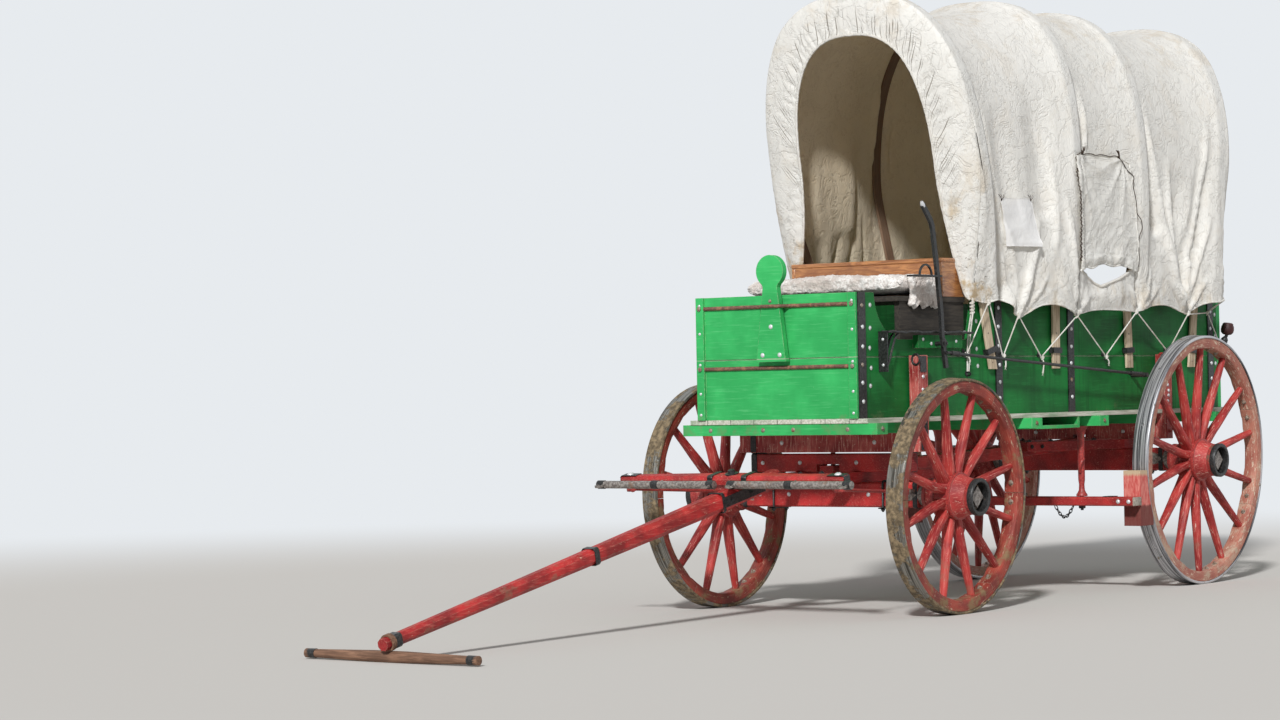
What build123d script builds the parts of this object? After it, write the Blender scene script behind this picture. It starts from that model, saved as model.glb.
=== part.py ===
# Covered farm wagon: a panelled box on a wooden running gear, with a canvas cover on bent bows.
# Millimetres. +X points forward, +Y to the wagon's left and +Z up.
# The origin is on the ground under the middle of the front axle.
import os
from math import asin, atan2, cos, hypot, pi, radians, sin, sqrt, tan

from build123d import *

os.makedirs("parts", exist_ok=True)

# Wheels and stance
wheelbase = 2538
front_radius = 578
rear_radius = 686
tyre_mid_y = 729
tyre_width = 92
tyre_thickness = 14
camber = 1.7
felloe_depth = 56
felloe_width = 80
felloe_chamfer = 10
felloe_joint = 3
joint_depth = 4
front_spokes = 12
rear_spokes = 14
seat_gap = 0.3

# Hub, measured outwards along its axis from the middle plane of the tyre
dish = 34
hub_seat_radius = 110
hub_seat_half = 36
hub_hoop_radius = 117
hub_hoop_width = 18
hub_back = -160
hub_back_radius = 80
hub_waist_radius = 92
hub_taper_end = 86
hub_taper_radius = 84
hub_band_end = 106
hub_band_radius = 88
hub_ring_end = 134
hub_ring_radius = 92
hub_mouth_radius = 72
hub_mouth_depth = 56
arm_radius = 34
arm_clearance = 0.3
spoke_root = (34, 64)
spoke_belly = (44, 60)
spoke_tip = (38, 40)
spoke_belly_share = 0.3

# Axles, with their iron arms
axle_width = 100
axle_height = 124
axle_half = 470
collar_radius = 56
collar_width = 8
collar_gap = 6
sleeve_radius = 60
sleeve_length = 96
nut_size = 76
nut_height = 30
washer_radius = 46
washer_height = 5

# Box
box_front = 480
box_rear = -3286
box_half = 478
board = 25
floor_bottom = 945
floor_top = 968
floor_half = box_half + 52
seam_height = 1266
box_top = 1580
seam_groove = 4
sill_half = box_half + 102
sill_height = 55
sill_width = 95
sill_stations = (box_front - 48, -1030, -wheelbase + 793, box_rear + 206)
strap_thickness = 8
strap_width = 62
strap_stations = (box_front - 31, -826, -1570, box_rear + 114)
cleat_width = 46
cleat_thickness = 14
rail_radius = 9
rail_heights = (1223, 1525)

# Cut-out in the upper side boards beside the seat
cut_front = 330
cut_floor = 1352
cut_rear = -600
cut_radius = 215

# Batten outside each side board, under the step
batten_rear = -426
batten_front = -14
batten_low = 1308
batten_high = 1373
batten_thickness = 32

# Post for the reins on the front board
post_head_radius = 80
post_head_z = 1697
post_neck_half = 42
post_neck_z = 1618
post_foot_half = 87
post_foot_z = 1252
post_thickness = 34

# Bows, from front to rear: station at the foot, lean forwards in degrees, height of the crown
bow_table = (
    (-748, 14.3, 3124),
    (-1390, -1.2, 3180),
    (-2190, 2.3, 3173),
    (box_rear + 376, -8.2, 3168),
)
bow_foot_z = 1200
bow_foot_half = box_half + strap_thickness + seat_gap
bow_knee_z = 1600
bow_width = 72
bow_thickness = 14
bow_shoulder_z = 2210
bow_shoulder_half = box_half + 160
bow_squareness = 2.6
staple_low = 1296
staple_height = 30
staple_iron = 8

# Cover
cover_thickness = 6
arch_steps = 10
cover_band = 84

# Seat
seat_half = box_half - 16
chest_front = -327
chest_rear = -537
chest_top = 1764
seat_front = 92
seat_board_top = 1567
seat_board_thickness = 26
cushion_top = 1706
cushion_round = 30
riser_thickness = 30
riser_setback = 30

# Running gear heights
gear_gap = 7
hound_size = 52
bolster_top = floor_bottom - sill_height
front_bolster_height = 94
stake_inner = box_half + strap_thickness + 4
bolster_width = 96
stake_width = 86
stake_depth = 54
stake_notch = 4
stake_top = 1272
kingpin_radius = 12
reach_width = 80
reach_height = 76
reach_tail = -2925
reach_pin_radius = 13

# Front hounds and the bar that slides under the reach
hound_nose_x = 640
hound_axle_half = 165
hound_tail_x = -560
hound_tail_half = 300
sway_bar_height = 40
sway_bar_width = 60
sway_bar_half = 370

# Tongue, in its own frame from its hinge
tongue_hinge_x = 560
tongue_heel = 52
tongue_tip = 2900
tongue_root = (84, 90)
tongue_end = (52, 52)
tongue_pin_radius = 12
jaw_gap = 10
doubletree_at = 300
doubletree_half = 660
doubletree_mid = (96, 60)
doubletree_end = (60, 50)
doubletree_bolt_y = 615
doubletree_bolt_radius = 8
singletree_ahead = 96
singletree_y = 395
singletree_half = 355
singletree_radius = 19
yoke_behind_tip = 40
yoke_half = 480
yoke_radius = 25
yoke_end_radius = 17
yoke_ring_hole = 28.6
yoke_ring_iron = 8
yoke_ring_width = 24
yoke_ferrule = 44
yoke_ferrule_iron = 3
trace_ring_inset = 30
trace_ring_radius = 22
trace_ring_hole = 13
trace_ring_iron = 10

# Stay rods from the front axle to the doubletree's ends
stay_rod_radius = 8
stay_eye_radius = 28
stay_eye_hole = 18.5
stay_eye_lead = 3.1
stay_axle_x = 84
stay_axle_y = 500
stay_axle_z = 600
stay_barrel_radius = 13
stay_barrel_length = 20
stay_pin_radius = 6
stay_lug = 8

# Rear gear
rear_hound_nose_x = -1760
rear_hound_axle_half = 290
rear_hound_lap = 190

# Brake
brake_gap = 10
brake_block_width = 100
brake_block_depth = 80
brake_block_low = 353
brake_block_high = 648
brake_beam_z = 486
brake_beam_height = 48
brake_beam_depth = 90
brake_beam_half = 780
brake_hanger_y = 450
brake_hanger_radius = 11
lever_y = box_half + 72
lever_width = 26
lever_thickness = 16
lever_bend = 90
rod_radius = 8
rod_y = lever_y + lever_thickness / 2 + rod_radius + seat_gap
rod_front_x = -186
rod_front_z = 1284
crank_x = -2240
crank_z = 1159
pedal_rear = -140
pedal_front = 93
pedal_z = 1668
pedal_width = 60
pedal_iron = 9
pedal_loop_x = -32
pedal_loop_radius = 56

# Steps on the box sides
step_z = 1390
step_front = 260
step_rear = -497
step_out = box_half + 52
step_thickness = 8
step_leg_x = 290
step_leg_low = 1192

# Tool tray under the floor
tray_front = -1160
tray_rear = -1570
tray_half = floor_half - 2
tray_bottom = 884
tray_wall = 18


def keep(piece, name):
    piece.part.label = name
    export_step(piece.part, f"parts/{name}.step")


def slab(x, y, z, mode=Mode.ADD):
    # A box between two values along each axis.
    with Locations(((x[0] + x[1]) / 2, (y[0] + y[1]) / 2, (z[0] + z[1]) / 2)):
        Box(abs(x[1] - x[0]), abs(y[1] - y[0]), abs(z[1] - z[0]), mode=mode)


def octagon(width, depth):
    # A rectangle with its corners shaved off, as on wood worked by hand.
    cut = 0.29 * min(width, depth)
    w = width / 2
    d = depth / 2
    Polygon(
        (w, d - cut), (w - cut, d), (cut - w, d), (-w, d - cut),
        (-w, cut - d), (cut - w, -d), (w - cut, -d), (w, cut - d),
        align=None,
    )


def rod(start, end, radius):
    # A round rod between two points.
    run = Vector(*end) - Vector(*start)
    with BuildSketch(Plane(origin=start, z_dir=run)) as section:
        Circle(radius)
    extrude(section.sketch, amount=run.length)


def wheel_plane(x, side, radius):
    # The middle plane of a tyre, facing outwards and leaning out at the top.
    lean = radians(camber)
    centre = (x, side * tyre_mid_y, radius * cos(lean))
    return Plane(origin=centre, x_dir=(1, 0, 0), z_dir=(0, side * cos(lean), -sin(lean)))


def profile_plane(wheel):
    # A plane through the wheel's axis: radius to the right, outwards up.
    return Plane(origin=wheel.origin, x_dir=wheel.x_dir, z_dir=-wheel.y_dir)


def turned(wheel, points, mode=Mode.ADD):
    # A ring or shaft turned about the wheel's axis from (radius, outwards) points.
    with BuildSketch(profile_plane(wheel)) as outline:
        with BuildLine():
            Polyline(*points, close=True)
        make_face()
    revolve(outline.sketch, axis=Axis(wheel.origin, wheel.z_dir), mode=mode)


def make_tyre(wheel, radius, name):
    # The tread is coned by the camber, so that it stands flat on the ground.
    half = tyre_width / 2
    cone = half * tan(radians(camber))
    inner = radius - tyre_thickness
    with BuildPart() as tyre:
        turned(wheel, [(inner, -half), (radius + cone, -half), (radius - cone, half), (inner, half)])
    keep(tyre, name)


def make_felloes(wheel, radius, count, name):
    # A bent ring, scored at the joints between its segments, which hold two spokes each.
    half = felloe_width / 2
    outer = radius - tyre_thickness - seat_gap
    inner = outer - felloe_depth
    cut = felloe_chamfer
    with BuildPart() as felloes:
        turned(wheel, [
            (inner, cut - half), (inner + cut, -half), (outer, -half),
            (outer, half), (inner + cut, half), (inner, half - cut),
        ])
        for joint in range(count // 2):
            angle = 4 * pi * joint / count
            radial = wheel.x_dir * cos(angle) + wheel.y_dir * sin(angle)
            across = wheel.y_dir * cos(angle) - wheel.x_dir * sin(angle)
            with BuildSketch(Plane(origin=wheel.origin, x_dir=radial, z_dir=across)) as groove:
                with Locations(((inner + outer) / 2, 0)):
                    Rectangle(felloe_depth + 4, felloe_width + 4)
                    Rectangle(felloe_depth + 5, felloe_width - 2 * joint_depth, mode=Mode.SUBTRACT)
            extrude(groove.sketch, amount=felloe_joint / 2, both=True, mode=Mode.SUBTRACT)
    keep(felloes, name)


def make_spokes(wheel, radius, count, name):
    # Each spoke runs from the hub out to the felloe across the dish, shaved to an oval of flats.
    inner = hub_seat_radius + seat_gap
    outer = radius - tyre_thickness - felloe_depth - 2 * seat_gap
    root = hub_seat_radius - 8
    tip = outer + 8
    belly = root + spoke_belly_share * (tip - root)
    sections = ((root, spoke_root), (belly, spoke_belly), (tip, spoke_tip))
    with BuildPart() as spokes:
        for turn in range(count):
            angle = 2 * pi * (turn + 0.5) / count
            radial = wheel.x_dir * cos(angle) + wheel.y_dir * sin(angle)
            across = wheel.y_dir * cos(angle) - wheel.x_dir * sin(angle)
            slope = dish / (outer - inner)
            along = radial + wheel.z_dir * slope
            for at, size in sections:
                out = (at - outer) * slope
                centre = wheel.origin + radial * at + wheel.z_dir * out
                with BuildSketch(Plane(origin=centre, x_dir=across, z_dir=along)):
                    octagon(*size)
            loft(ruled=True)
        reach_out = dish + spoke_root[1]
        turned(wheel, [(inner, -reach_out), (outer, -reach_out), (outer, reach_out), (inner, reach_out)],
               mode=Mode.INTERSECT)
    keep(spokes, name)


def make_hub(wheel, name):
    # Turned elm with shrunk bands, and an open iron ring round the axle nut.
    back = -dish - hub_seat_half
    front = -dish + hub_seat_half
    bore = arm_radius + arm_clearance
    mouth = hub_ring_end - hub_mouth_depth
    with BuildPart() as hub:
        turned(wheel, [
            (bore, hub_back),
            (hub_back_radius, hub_back),
            (hub_back_radius, hub_back + hub_hoop_width),
            (hub_waist_radius, back - hub_hoop_width - 24),
            (hub_hoop_radius, back - hub_hoop_width),
            (hub_hoop_radius, back),
            (hub_seat_radius, back),
            (hub_seat_radius, front),
            (hub_hoop_radius, front),
            (hub_hoop_radius, front + hub_hoop_width),
            (hub_hoop_radius - 7, front + hub_hoop_width),
            (hub_taper_radius, hub_taper_end),
            (hub_band_radius, hub_taper_end),
            (hub_band_radius, hub_band_end),
            (hub_ring_radius, hub_band_end),
            (hub_ring_radius, hub_ring_end),
            (hub_mouth_radius, hub_ring_end),
            (hub_mouth_radius, mouth),
            (bore, mouth),
        ])
    keep(hub, name)


def arm(wheel, mode=Mode.ADD):
    # The iron arm that a wheel turns on: a sleeve over the wood, a collar and a journal.
    collar_back = hub_back - collar_gap - collar_width
    mouth = hub_ring_end - hub_mouth_depth
    turned(wheel, [
        (0, collar_back - sleeve_length),
        (sleeve_radius, collar_back - sleeve_length),
        (collar_radius - 6, collar_back),
        (collar_radius, collar_back),
        (collar_radius, collar_back + collar_width),
        (arm_radius, collar_back + collar_width),
        (arm_radius, mouth + washer_height + nut_height),
        (0, mouth + washer_height + nut_height),
    ], mode=mode)


def make_arms(x, radius, name, stays):
    # Both arms of an axle, each with its washer and square nut inside the hub's ring.
    mouth = hub_ring_end - hub_mouth_depth
    with BuildPart() as arms:
        for side in (1, -1):
            wheel = wheel_plane(x, side, radius)
            arm(wheel)
            seat = wheel.offset(mouth + 1)
            with BuildSketch(seat):
                Circle(washer_radius)
            extrude(amount=washer_height)
            with BuildSketch(wheel.offset(mouth + washer_height)):
                RegularPolygon(nut_size / 2, 4, major_radius=False)
            extrude(amount=nut_height)
            if stays:
                inner = stay_barrel_length / 2 + 0.5
                for low in (stay_axle_y - inner - stay_lug, stay_axle_y + inner):
                    slab((axle_width / 2, stay_axle_x + stay_barrel_radius), (side * low, side * (low + stay_lug)),
                         (stay_axle_z - stay_barrel_radius, stay_axle_z + stay_barrel_radius))
                rod((stay_axle_x, side * (stay_axle_y - inner), stay_axle_z),
                    (stay_axle_x, side * (stay_axle_y + inner), stay_axle_z), stay_pin_radius)
    keep(arms, name)


def make_wheel(prefix, x, side, radius, count):
    wheel = wheel_plane(x, side, radius)
    make_tyre(wheel, radius, f"{prefix}_tyre")
    make_felloes(wheel, radius, count, f"{prefix}_felloes")
    make_spokes(wheel, radius, count, f"{prefix}_spokes")
    make_hub(wheel, f"{prefix}_hub")


for side, word in ((1, "left"), (-1, "right")):
    make_wheel(f"front_{word}", 0, side, front_radius, front_spokes)
    make_wheel(f"rear_{word}", -wheelbase, side, rear_radius, rear_spokes)
make_arms(0, front_radius, "front_arms", True)
make_arms(-wheelbase, rear_radius, "rear_arms", False)

# Axle beams
front_axle_z = front_radius * cos(radians(camber))
rear_axle_z = rear_radius * cos(radians(camber))
front_axle_top = front_axle_z + 68
rear_axle_top = rear_axle_z + 66


def make_axle(x, top, radius, name, pin):
    with BuildPart() as axle:
        slab((x - axle_width / 2, x + axle_width / 2), (-axle_half - 60, axle_half + 60), (top - axle_height, top))
        chamfer(axle.edges().filter_by(Axis.Y), length=8)
        for side in (1, -1):
            arm(wheel_plane(x, side, radius), mode=Mode.SUBTRACT)
        if pin:
            with Locations((x, 0, top - axle_height / 2)):
                Cylinder(kingpin_radius + arm_clearance, axle_height + 2, mode=Mode.SUBTRACT)
    keep(axle, name)


make_axle(0, front_axle_top, front_radius, "front_axle", True)
make_axle(-wheelbase, rear_axle_top, rear_radius, "rear_axle", False)

# Front hounds lie on the axle, meet at the tongue and spread behind it over the sway bar.
front_hound_low = front_axle_top
front_hound_high = front_hound_low + hound_size
tongue_hinge_z = front_hound_low + hound_size / 2
jaw = tongue_root[0] / 2 + jaw_gap
with BuildPart() as front_hounds:
    for side in (1, -1):
        with BuildSketch(Plane.XY.offset(front_hound_low)):
            with BuildLine():
                half = hound_size / 2
                Polyline(
                    (hound_nose_x, side * jaw),
                    (hound_nose_x, side * (jaw + hound_size)),
                    (axle_width, side * (hound_axle_half + half)),
                    (-axle_width, side * (hound_axle_half + half + 20)),
                    (hound_tail_x, side * (hound_tail_half + half)),
                    (hound_tail_x, side * (hound_tail_half - half)),
                    (-axle_width, side * (hound_axle_half - half + 20)),
                    (axle_width, side * (hound_axle_half - half)),
                    (tongue_hinge_x - tongue_heel - jaw_gap, side * jaw),
                    close=True,
                )
            make_face()
        extrude(amount=hound_size)
    rod((tongue_hinge_x, -jaw - hound_size - 14, tongue_hinge_z),
        (tongue_hinge_x, jaw + hound_size + 14, tongue_hinge_z), tongue_pin_radius)
    slab((hound_tail_x + 20, hound_tail_x + 20 + sway_bar_width), (-sway_bar_half, sway_bar_half),
         (front_hound_low - sway_bar_height, front_hound_low))
keep(front_hounds, "front_hounds")

# The reach passes over the front axle, under the sand board, and climbs to the rear axle.
reach_front_low = front_axle_top + gear_gap
reach_rear_low = rear_axle_top
reach_slope = (reach_rear_low - reach_front_low) / (axle_width - wheelbase)
reach_nose = 62


def reach_low(x):
    return reach_front_low + reach_slope * min(0, x + axle_width / 2)


sand_board_low = front_hound_high
sand_board_high = bolster_top - front_bolster_height - gear_gap
notch_half = 68
notch_top = reach_front_low + reach_height + gear_gap
with BuildPart() as sand_board:
    slab((-bolster_width / 2, bolster_width / 2), (-axle_half, axle_half),
         (sand_board_low, sand_board_high))
    chamfer(sand_board.edges().filter_by(Axis.Y), length=6)
    slab((-bolster_width, bolster_width), (-notch_half, notch_half), (sand_board_low - 1, notch_top),
         mode=Mode.SUBTRACT)
    with Locations((0, 0, sand_board_high)):
        Cylinder(kingpin_radius + arm_clearance, 4 * hound_size, mode=Mode.SUBTRACT)
keep(sand_board, "sand_board")

with BuildPart() as reach:
    with BuildSketch(Plane.XZ):
        with BuildLine():
            tail_low = reach_low(reach_tail)
            Polyline(
                (reach_nose, reach_front_low),
                (-axle_width / 2, reach_front_low),
                (reach_tail, tail_low),
                (reach_tail, tail_low + reach_height - 20),
                (-axle_width / 2, reach_front_low + reach_height),
                (reach_nose, reach_front_low + reach_height),
                close=True,
            )
        make_face()
    extrude(amount=reach_width / 2, both=True)
    with Locations((0, 0, reach_front_low)):
        Cylinder(kingpin_radius + arm_clearance, 4 * reach_height, mode=Mode.SUBTRACT)
    with Locations((reach_tail + 60, 0, tail_low)):
        Cylinder(reach_pin_radius, 4 * reach_height, mode=Mode.SUBTRACT)
keep(reach, "reach")


def make_bolster(x, low, name, pin, notch):
    # The bolster carries the box between two standing stakes.
    with BuildPart() as bolster:
        slab((x - bolster_width / 2, x + bolster_width / 2), (-stake_inner, stake_inner), (low, bolster_top))
        for side in (1, -1):
            slab((x - stake_width / 2, x + stake_width / 2), (side * stake_inner, side * (stake_inner + stake_depth)),
                 (low, stake_top))
        if notch:
            tail = reach_low(x)
            slab((x - bolster_width, x + bolster_width), (-reach_width / 2, reach_width / 2),
                 (low - 1, tail + reach_height + seat_gap), mode=Mode.SUBTRACT)
        if pin:
            with Locations((x, 0, (bolster_top + front_axle_top - axle_height) / 2)):
                Cylinder(kingpin_radius, bolster_top - front_axle_top + axle_height)
    keep(bolster, name)


rear_bolster_low = rear_axle_top + hound_size
make_bolster(0, bolster_top - front_bolster_height, "front_bolster", True, False)
make_bolster(-wheelbase, rear_bolster_low, "rear_bolster", False, True)

# Rear hounds brace the rear axle to the reach.
with BuildPart() as rear_hounds:
    for side in (1, -1):
        with BuildSketch(Plane.XY.offset(rear_axle_top)):
            with BuildLine():
                half = hound_size / 2
                near = reach_width / 2 + seat_gap
                Polyline(
                    (rear_hound_nose_x, side * near),
                    (rear_hound_nose_x, side * (near + hound_size)),
                    (-wheelbase + axle_width, side * (rear_hound_axle_half + half)),
                    (-wheelbase - axle_width, side * (rear_hound_axle_half + half + 14)),
                    (-wheelbase - axle_width, side * (rear_hound_axle_half - half + 14)),
                    (-wheelbase + axle_width, side * (rear_hound_axle_half - half)),
                    (rear_hound_nose_x - rear_hound_lap, side * near),
                    close=True,
                )
            make_face()
        extrude(amount=hound_size)
keep(rear_hounds, "rear_hounds")

# Tongue and draught bars, in the tongue's frame: x along the pole, z up from it.
# It droops until the neck yoke under its tip lies on the ground.
yoke_x = tongue_tip - yoke_behind_tip
yoke_z = -(yoke_ring_hole + yoke_ring_iron + yoke_radius)
drop = asin((tongue_hinge_z - yoke_radius) / hypot(yoke_x, yoke_z)) - atan2(-yoke_z, yoke_x)
tongue = Plane(origin=(tongue_hinge_x, 0, tongue_hinge_z), x_dir=(cos(drop), 0, -sin(drop)),
               z_dir=(sin(drop), 0, cos(drop)))


def along_tongue(x, y, z):
    return tongue.from_local_coords(Vector(x, y, z))


with BuildPart() as tongue_pole:
    for at, size in ((-tongue_heel, tongue_root), (doubletree_at + 160, tongue_root), (tongue_tip, tongue_end)):
        with BuildSketch(Plane(origin=along_tongue(at, 0, 0), x_dir=(0, 1, 0), z_dir=tongue.x_dir)):
            octagon(*size)
    loft(ruled=True)
    with Locations(Location((tongue_hinge_x, 0, tongue_hinge_z), (90, 0, 0))):
        Cylinder(tongue_pin_radius + arm_clearance, 2 * tongue_root[0], mode=Mode.SUBTRACT)
keep(tongue_pole, "tongue_pole")

tree_z = tongue_root[1] / 2 + doubletree_mid[1] / 2
with BuildPart() as doubletree:
    for at, size in ((-doubletree_half, doubletree_end), (0, doubletree_mid), (doubletree_half, doubletree_end)):
        with BuildSketch(Plane(origin=along_tongue(doubletree_at, at, tree_z), x_dir=tongue.x_dir,
                               z_dir=(0, 1, 0))):
            octagon(*size)
    loft(ruled=True)
    for side in (1, -1):
        rod(along_tongue(doubletree_at, side * doubletree_bolt_y, tree_z - 60),
            along_tongue(doubletree_at, side * doubletree_bolt_y, tree_z + 36), doubletree_bolt_radius)
keep(doubletree, "doubletree")

with BuildPart() as singletrees:
    for side in (1, -1):
        low = side * singletree_y - singletree_half
        high = side * singletree_y + singletree_half
        x = doubletree_at + singletree_ahead
        taper = (doubletree_mid[0] - doubletree_end[0]) / 2 * singletree_y / doubletree_half
        face = doubletree_at + doubletree_mid[0] / 2 - taper + 1
        rod(along_tongue(x, low, tree_z), along_tongue(x, high, tree_z), singletree_radius)
        rod(along_tongue(face, side * singletree_y, tree_z),
            along_tongue(x, side * singletree_y, tree_z), singletree_radius / 2)
        for y in (low + trace_ring_inset, high - trace_ring_inset):
            ring = along_tongue(x + singletree_radius + trace_ring_hole, y, tree_z)
            with BuildSketch(Plane(origin=ring, z_dir=tongue.z_dir)):
                Circle(trace_ring_radius)
                Circle(trace_ring_hole, mode=Mode.SUBTRACT)
            extrude(amount=trace_ring_iron / 2, both=True)
keep(singletrees, "singletrees")

with BuildPart() as neck_yoke:
    for at, radius in ((-yoke_half, yoke_end_radius), (-90, yoke_radius), (90, yoke_radius),
                       (yoke_half, yoke_end_radius)):
        with BuildSketch(Plane(origin=along_tongue(yoke_x, at, yoke_z), x_dir=tongue.x_dir, z_dir=(0, 1, 0))):
            Circle(radius)
    loft(ruled=True)
    for side in (1, -1):
        rod(along_tongue(yoke_x, side * (yoke_half - yoke_ferrule), yoke_z),
            along_tongue(yoke_x, side * (yoke_half + yoke_ferrule_iron), yoke_z), yoke_end_radius + yoke_ferrule_iron)
    with BuildSketch(Plane(origin=along_tongue(yoke_x - yoke_ring_width / 2, 0, 0), x_dir=(0, 1, 0),
                           z_dir=tongue.x_dir)):
        Circle(yoke_ring_hole + yoke_ring_iron + 1)
        Circle(yoke_ring_hole, mode=Mode.SUBTRACT)
    extrude(amount=yoke_ring_width)
keep(neck_yoke, "neck_yoke")

# Stay rods hook over the doubletree's end bolts and pivot on the front axle.
hook = along_tongue(doubletree_at, 0, tree_z - 46)
with BuildPart() as stay_rods:
    for side in (1, -1):
        start = Vector(stay_axle_x, side * stay_axle_y, stay_axle_z)
        end = Vector(hook.X, side * doubletree_bolt_y, hook.Z)
        run = (end - start).normalized()
        end += run * stay_eye_lead
        rod(start + run * stay_barrel_radius * 0.9, end - run * (stay_eye_radius - 3), stay_rod_radius)
        with Locations(Location(start, (90, 0, 0))):
            Cylinder(stay_barrel_radius, stay_barrel_length)
            Cylinder(stay_pin_radius + arm_clearance, stay_barrel_length, mode=Mode.SUBTRACT)
        with BuildSketch(Plane(origin=end, z_dir=tongue.z_dir)):
            Circle(stay_eye_radius)
            Circle(stay_eye_hole, mode=Mode.SUBTRACT)
        extrude(amount=stay_rod_radius - 1, both=True)
keep(stay_rods, "stay_rods")

# Box: floor and its sills
with BuildPart() as box_floor:
    slab((box_rear, box_front + 4), (-floor_half, floor_half), (floor_bottom, floor_top))
    for x in (0, -wheelbase):
        for side in (1, -1):
            slab((x - stake_width / 2 - stake_notch, x + stake_width / 2 + stake_notch),
                 (side * (stake_inner - stake_notch), side * (floor_half + 1)), (floor_bottom, floor_top),
                 mode=Mode.SUBTRACT)
keep(box_floor, "box_floor")

with BuildPart() as cross_sills:
    for x in sill_stations:
        slab((x - sill_width / 2, x + sill_width / 2), (-sill_half, sill_half), (bolster_top, floor_bottom))
    for x in (0, -wheelbase):
        slab((x - bolster_width / 2, x + bolster_width / 2), (-box_half, box_half), (bolster_top, floor_bottom))
keep(cross_sills, "cross_sills")

with BuildPart() as tool_tray:
    slab((tray_rear, tray_front), (-tray_half, tray_half), (tray_bottom, floor_bottom))
    slab((tray_rear + tray_wall, tray_front - tray_wall), (-tray_half - 1, tray_half + 1),
         (tray_bottom + tray_wall, floor_bottom + 1), mode=Mode.SUBTRACT)
keep(tool_tray, "tool_tray")


def make_side(side, name):
    # Two wide boards edge to edge, the upper one cut down beside the seat, with a batten under the step.
    outer = side * box_half
    inner = side * (box_half - board)
    with BuildPart() as wall:
        with BuildSketch(Plane.XZ.offset(-outer if side > 0 else -inner)):
            with BuildLine():
                lip = box_front - board
                knee = cut_front - cut_radius
                bend = cut_radius * (1 - sqrt(0.5))
                Polyline((cut_rear, box_top), (box_rear + board, box_top), (box_rear + board, floor_top),
                         (lip, floor_top), (lip, box_top), (cut_front, box_top))
                ThreePointArc((cut_front, box_top), (cut_front - bend, box_top - cut_radius + bend),
                              (knee, cut_floor))
                Polyline((knee, cut_floor), (cut_rear + 60, cut_floor), (cut_rear, box_top))
            make_face()
        extrude(amount=board)
        slab((box_rear, box_front), (outer - seam_groove, outer + seam_groove),
             (seam_height - seam_groove / 2, seam_height + seam_groove / 2), mode=Mode.SUBTRACT)
        slab((batten_rear, batten_front), (outer, side * (box_half + batten_thickness)), (batten_low, batten_high))
    keep(wall, name)


make_side(1, "box_side_left")
make_side(-1, "box_side_right")


def make_end(outer, face, name):
    # An end of the box: two boards, a cleat at each edge and two iron rails across.
    inner = outer - face * board
    with BuildPart() as end:
        slab((inner, outer), (-box_half, box_half), (floor_top, box_top))
        slab((outer - face * seam_groove, outer + face), (-box_half, box_half),
             (seam_height - seam_groove / 2, seam_height + seam_groove / 2), mode=Mode.SUBTRACT)
        for side in (1, -1):
            slab((outer, outer + face * cleat_thickness), (side * (box_half - cleat_width), side * box_half),
                 (floor_top, box_top))
        for z in rail_heights:
            rail = outer + face * rail_radius / 2
            rod((rail, -box_half + cleat_width, z), (rail, box_half - cleat_width, z), rail_radius)
    keep(end, name)


make_end(box_front, 1, "front_board")
make_end(box_rear, -1, "tailgate")

with BuildPart() as rein_post:
    with BuildSketch(Plane.YZ.offset(box_front + 1.5 * rail_radius + seat_gap)):
        with BuildLine():
            rise = post_head_radius * 0.8
            width = post_head_radius * 0.6
            Polyline((-width, post_head_z - rise), (-post_neck_half, post_neck_z), (-post_foot_half, post_foot_z),
                     (post_foot_half, post_foot_z), (post_neck_half, post_neck_z), (width, post_head_z - rise))
            ThreePointArc((width, post_head_z - rise), (0, post_head_z + post_head_radius),
                          (-width, post_head_z - rise))
        make_face()
    extrude(amount=post_thickness)
keep(rein_post, "rein_post")

# Bows and cover
def leaning_plane(station, lean):
    # A plane across the wagon, facing back: x to the right, y up the lean from the height of the bows' feet.
    tilt = radians(lean)
    return Plane(origin=(station, 0, bow_foot_z), x_dir=(0, -1, 0), z_dir=(-cos(tilt), 0, sin(tilt)))


def up(lean, height):
    # The distance up a leaning plane at which a height is reached.
    return (height - bow_foot_z) / cos(radians(lean))


def arch(lean, half, crown, squareness=bow_squareness):
    # The round top of a bow or of the cover, from one shoulder over the crown to the other.
    # It is an ellipse at a squareness of 2, and fuller at the shoulders above that.
    shoulder = up(lean, bow_shoulder_z)
    rise = up(lean, crown) - shoulder
    power = 2 / squareness
    quarter = [pi * step / (2 * arch_steps) for step in range(arch_steps + 1)]
    left = [(half * cos(angle) ** power, shoulder + rise * sin(angle) ** power) for angle in quarter[:-1]]
    crown_point = (0, shoulder + rise)
    return [*left, crown_point, *[(-across, height) for across, height in left[::-1]]]


def make_bow(number, station, lean, crown):
    knee = up(lean, bow_knee_z)
    near = bow_foot_half
    far = bow_foot_half + bow_thickness
    outer = arch(lean, bow_shoulder_half, crown)
    inner = arch(lean, bow_shoulder_half - bow_thickness, crown - bow_thickness)
    with BuildPart() as bow:
        with BuildSketch(leaning_plane(station, lean)):
            with BuildLine():
                Polyline((near, 0), (far, 0), (far, knee), *outer, (-far, knee), (-far, 0), (-near, 0),
                         (-near, knee), *inner[::-1], (near, knee), close=True)
            make_face()
        extrude(amount=bow_width / 2, both=True)
    keep(bow, f"bow_{number}")


for number, row in enumerate(bow_table, start=1):
    make_bow(number, *row)

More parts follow.
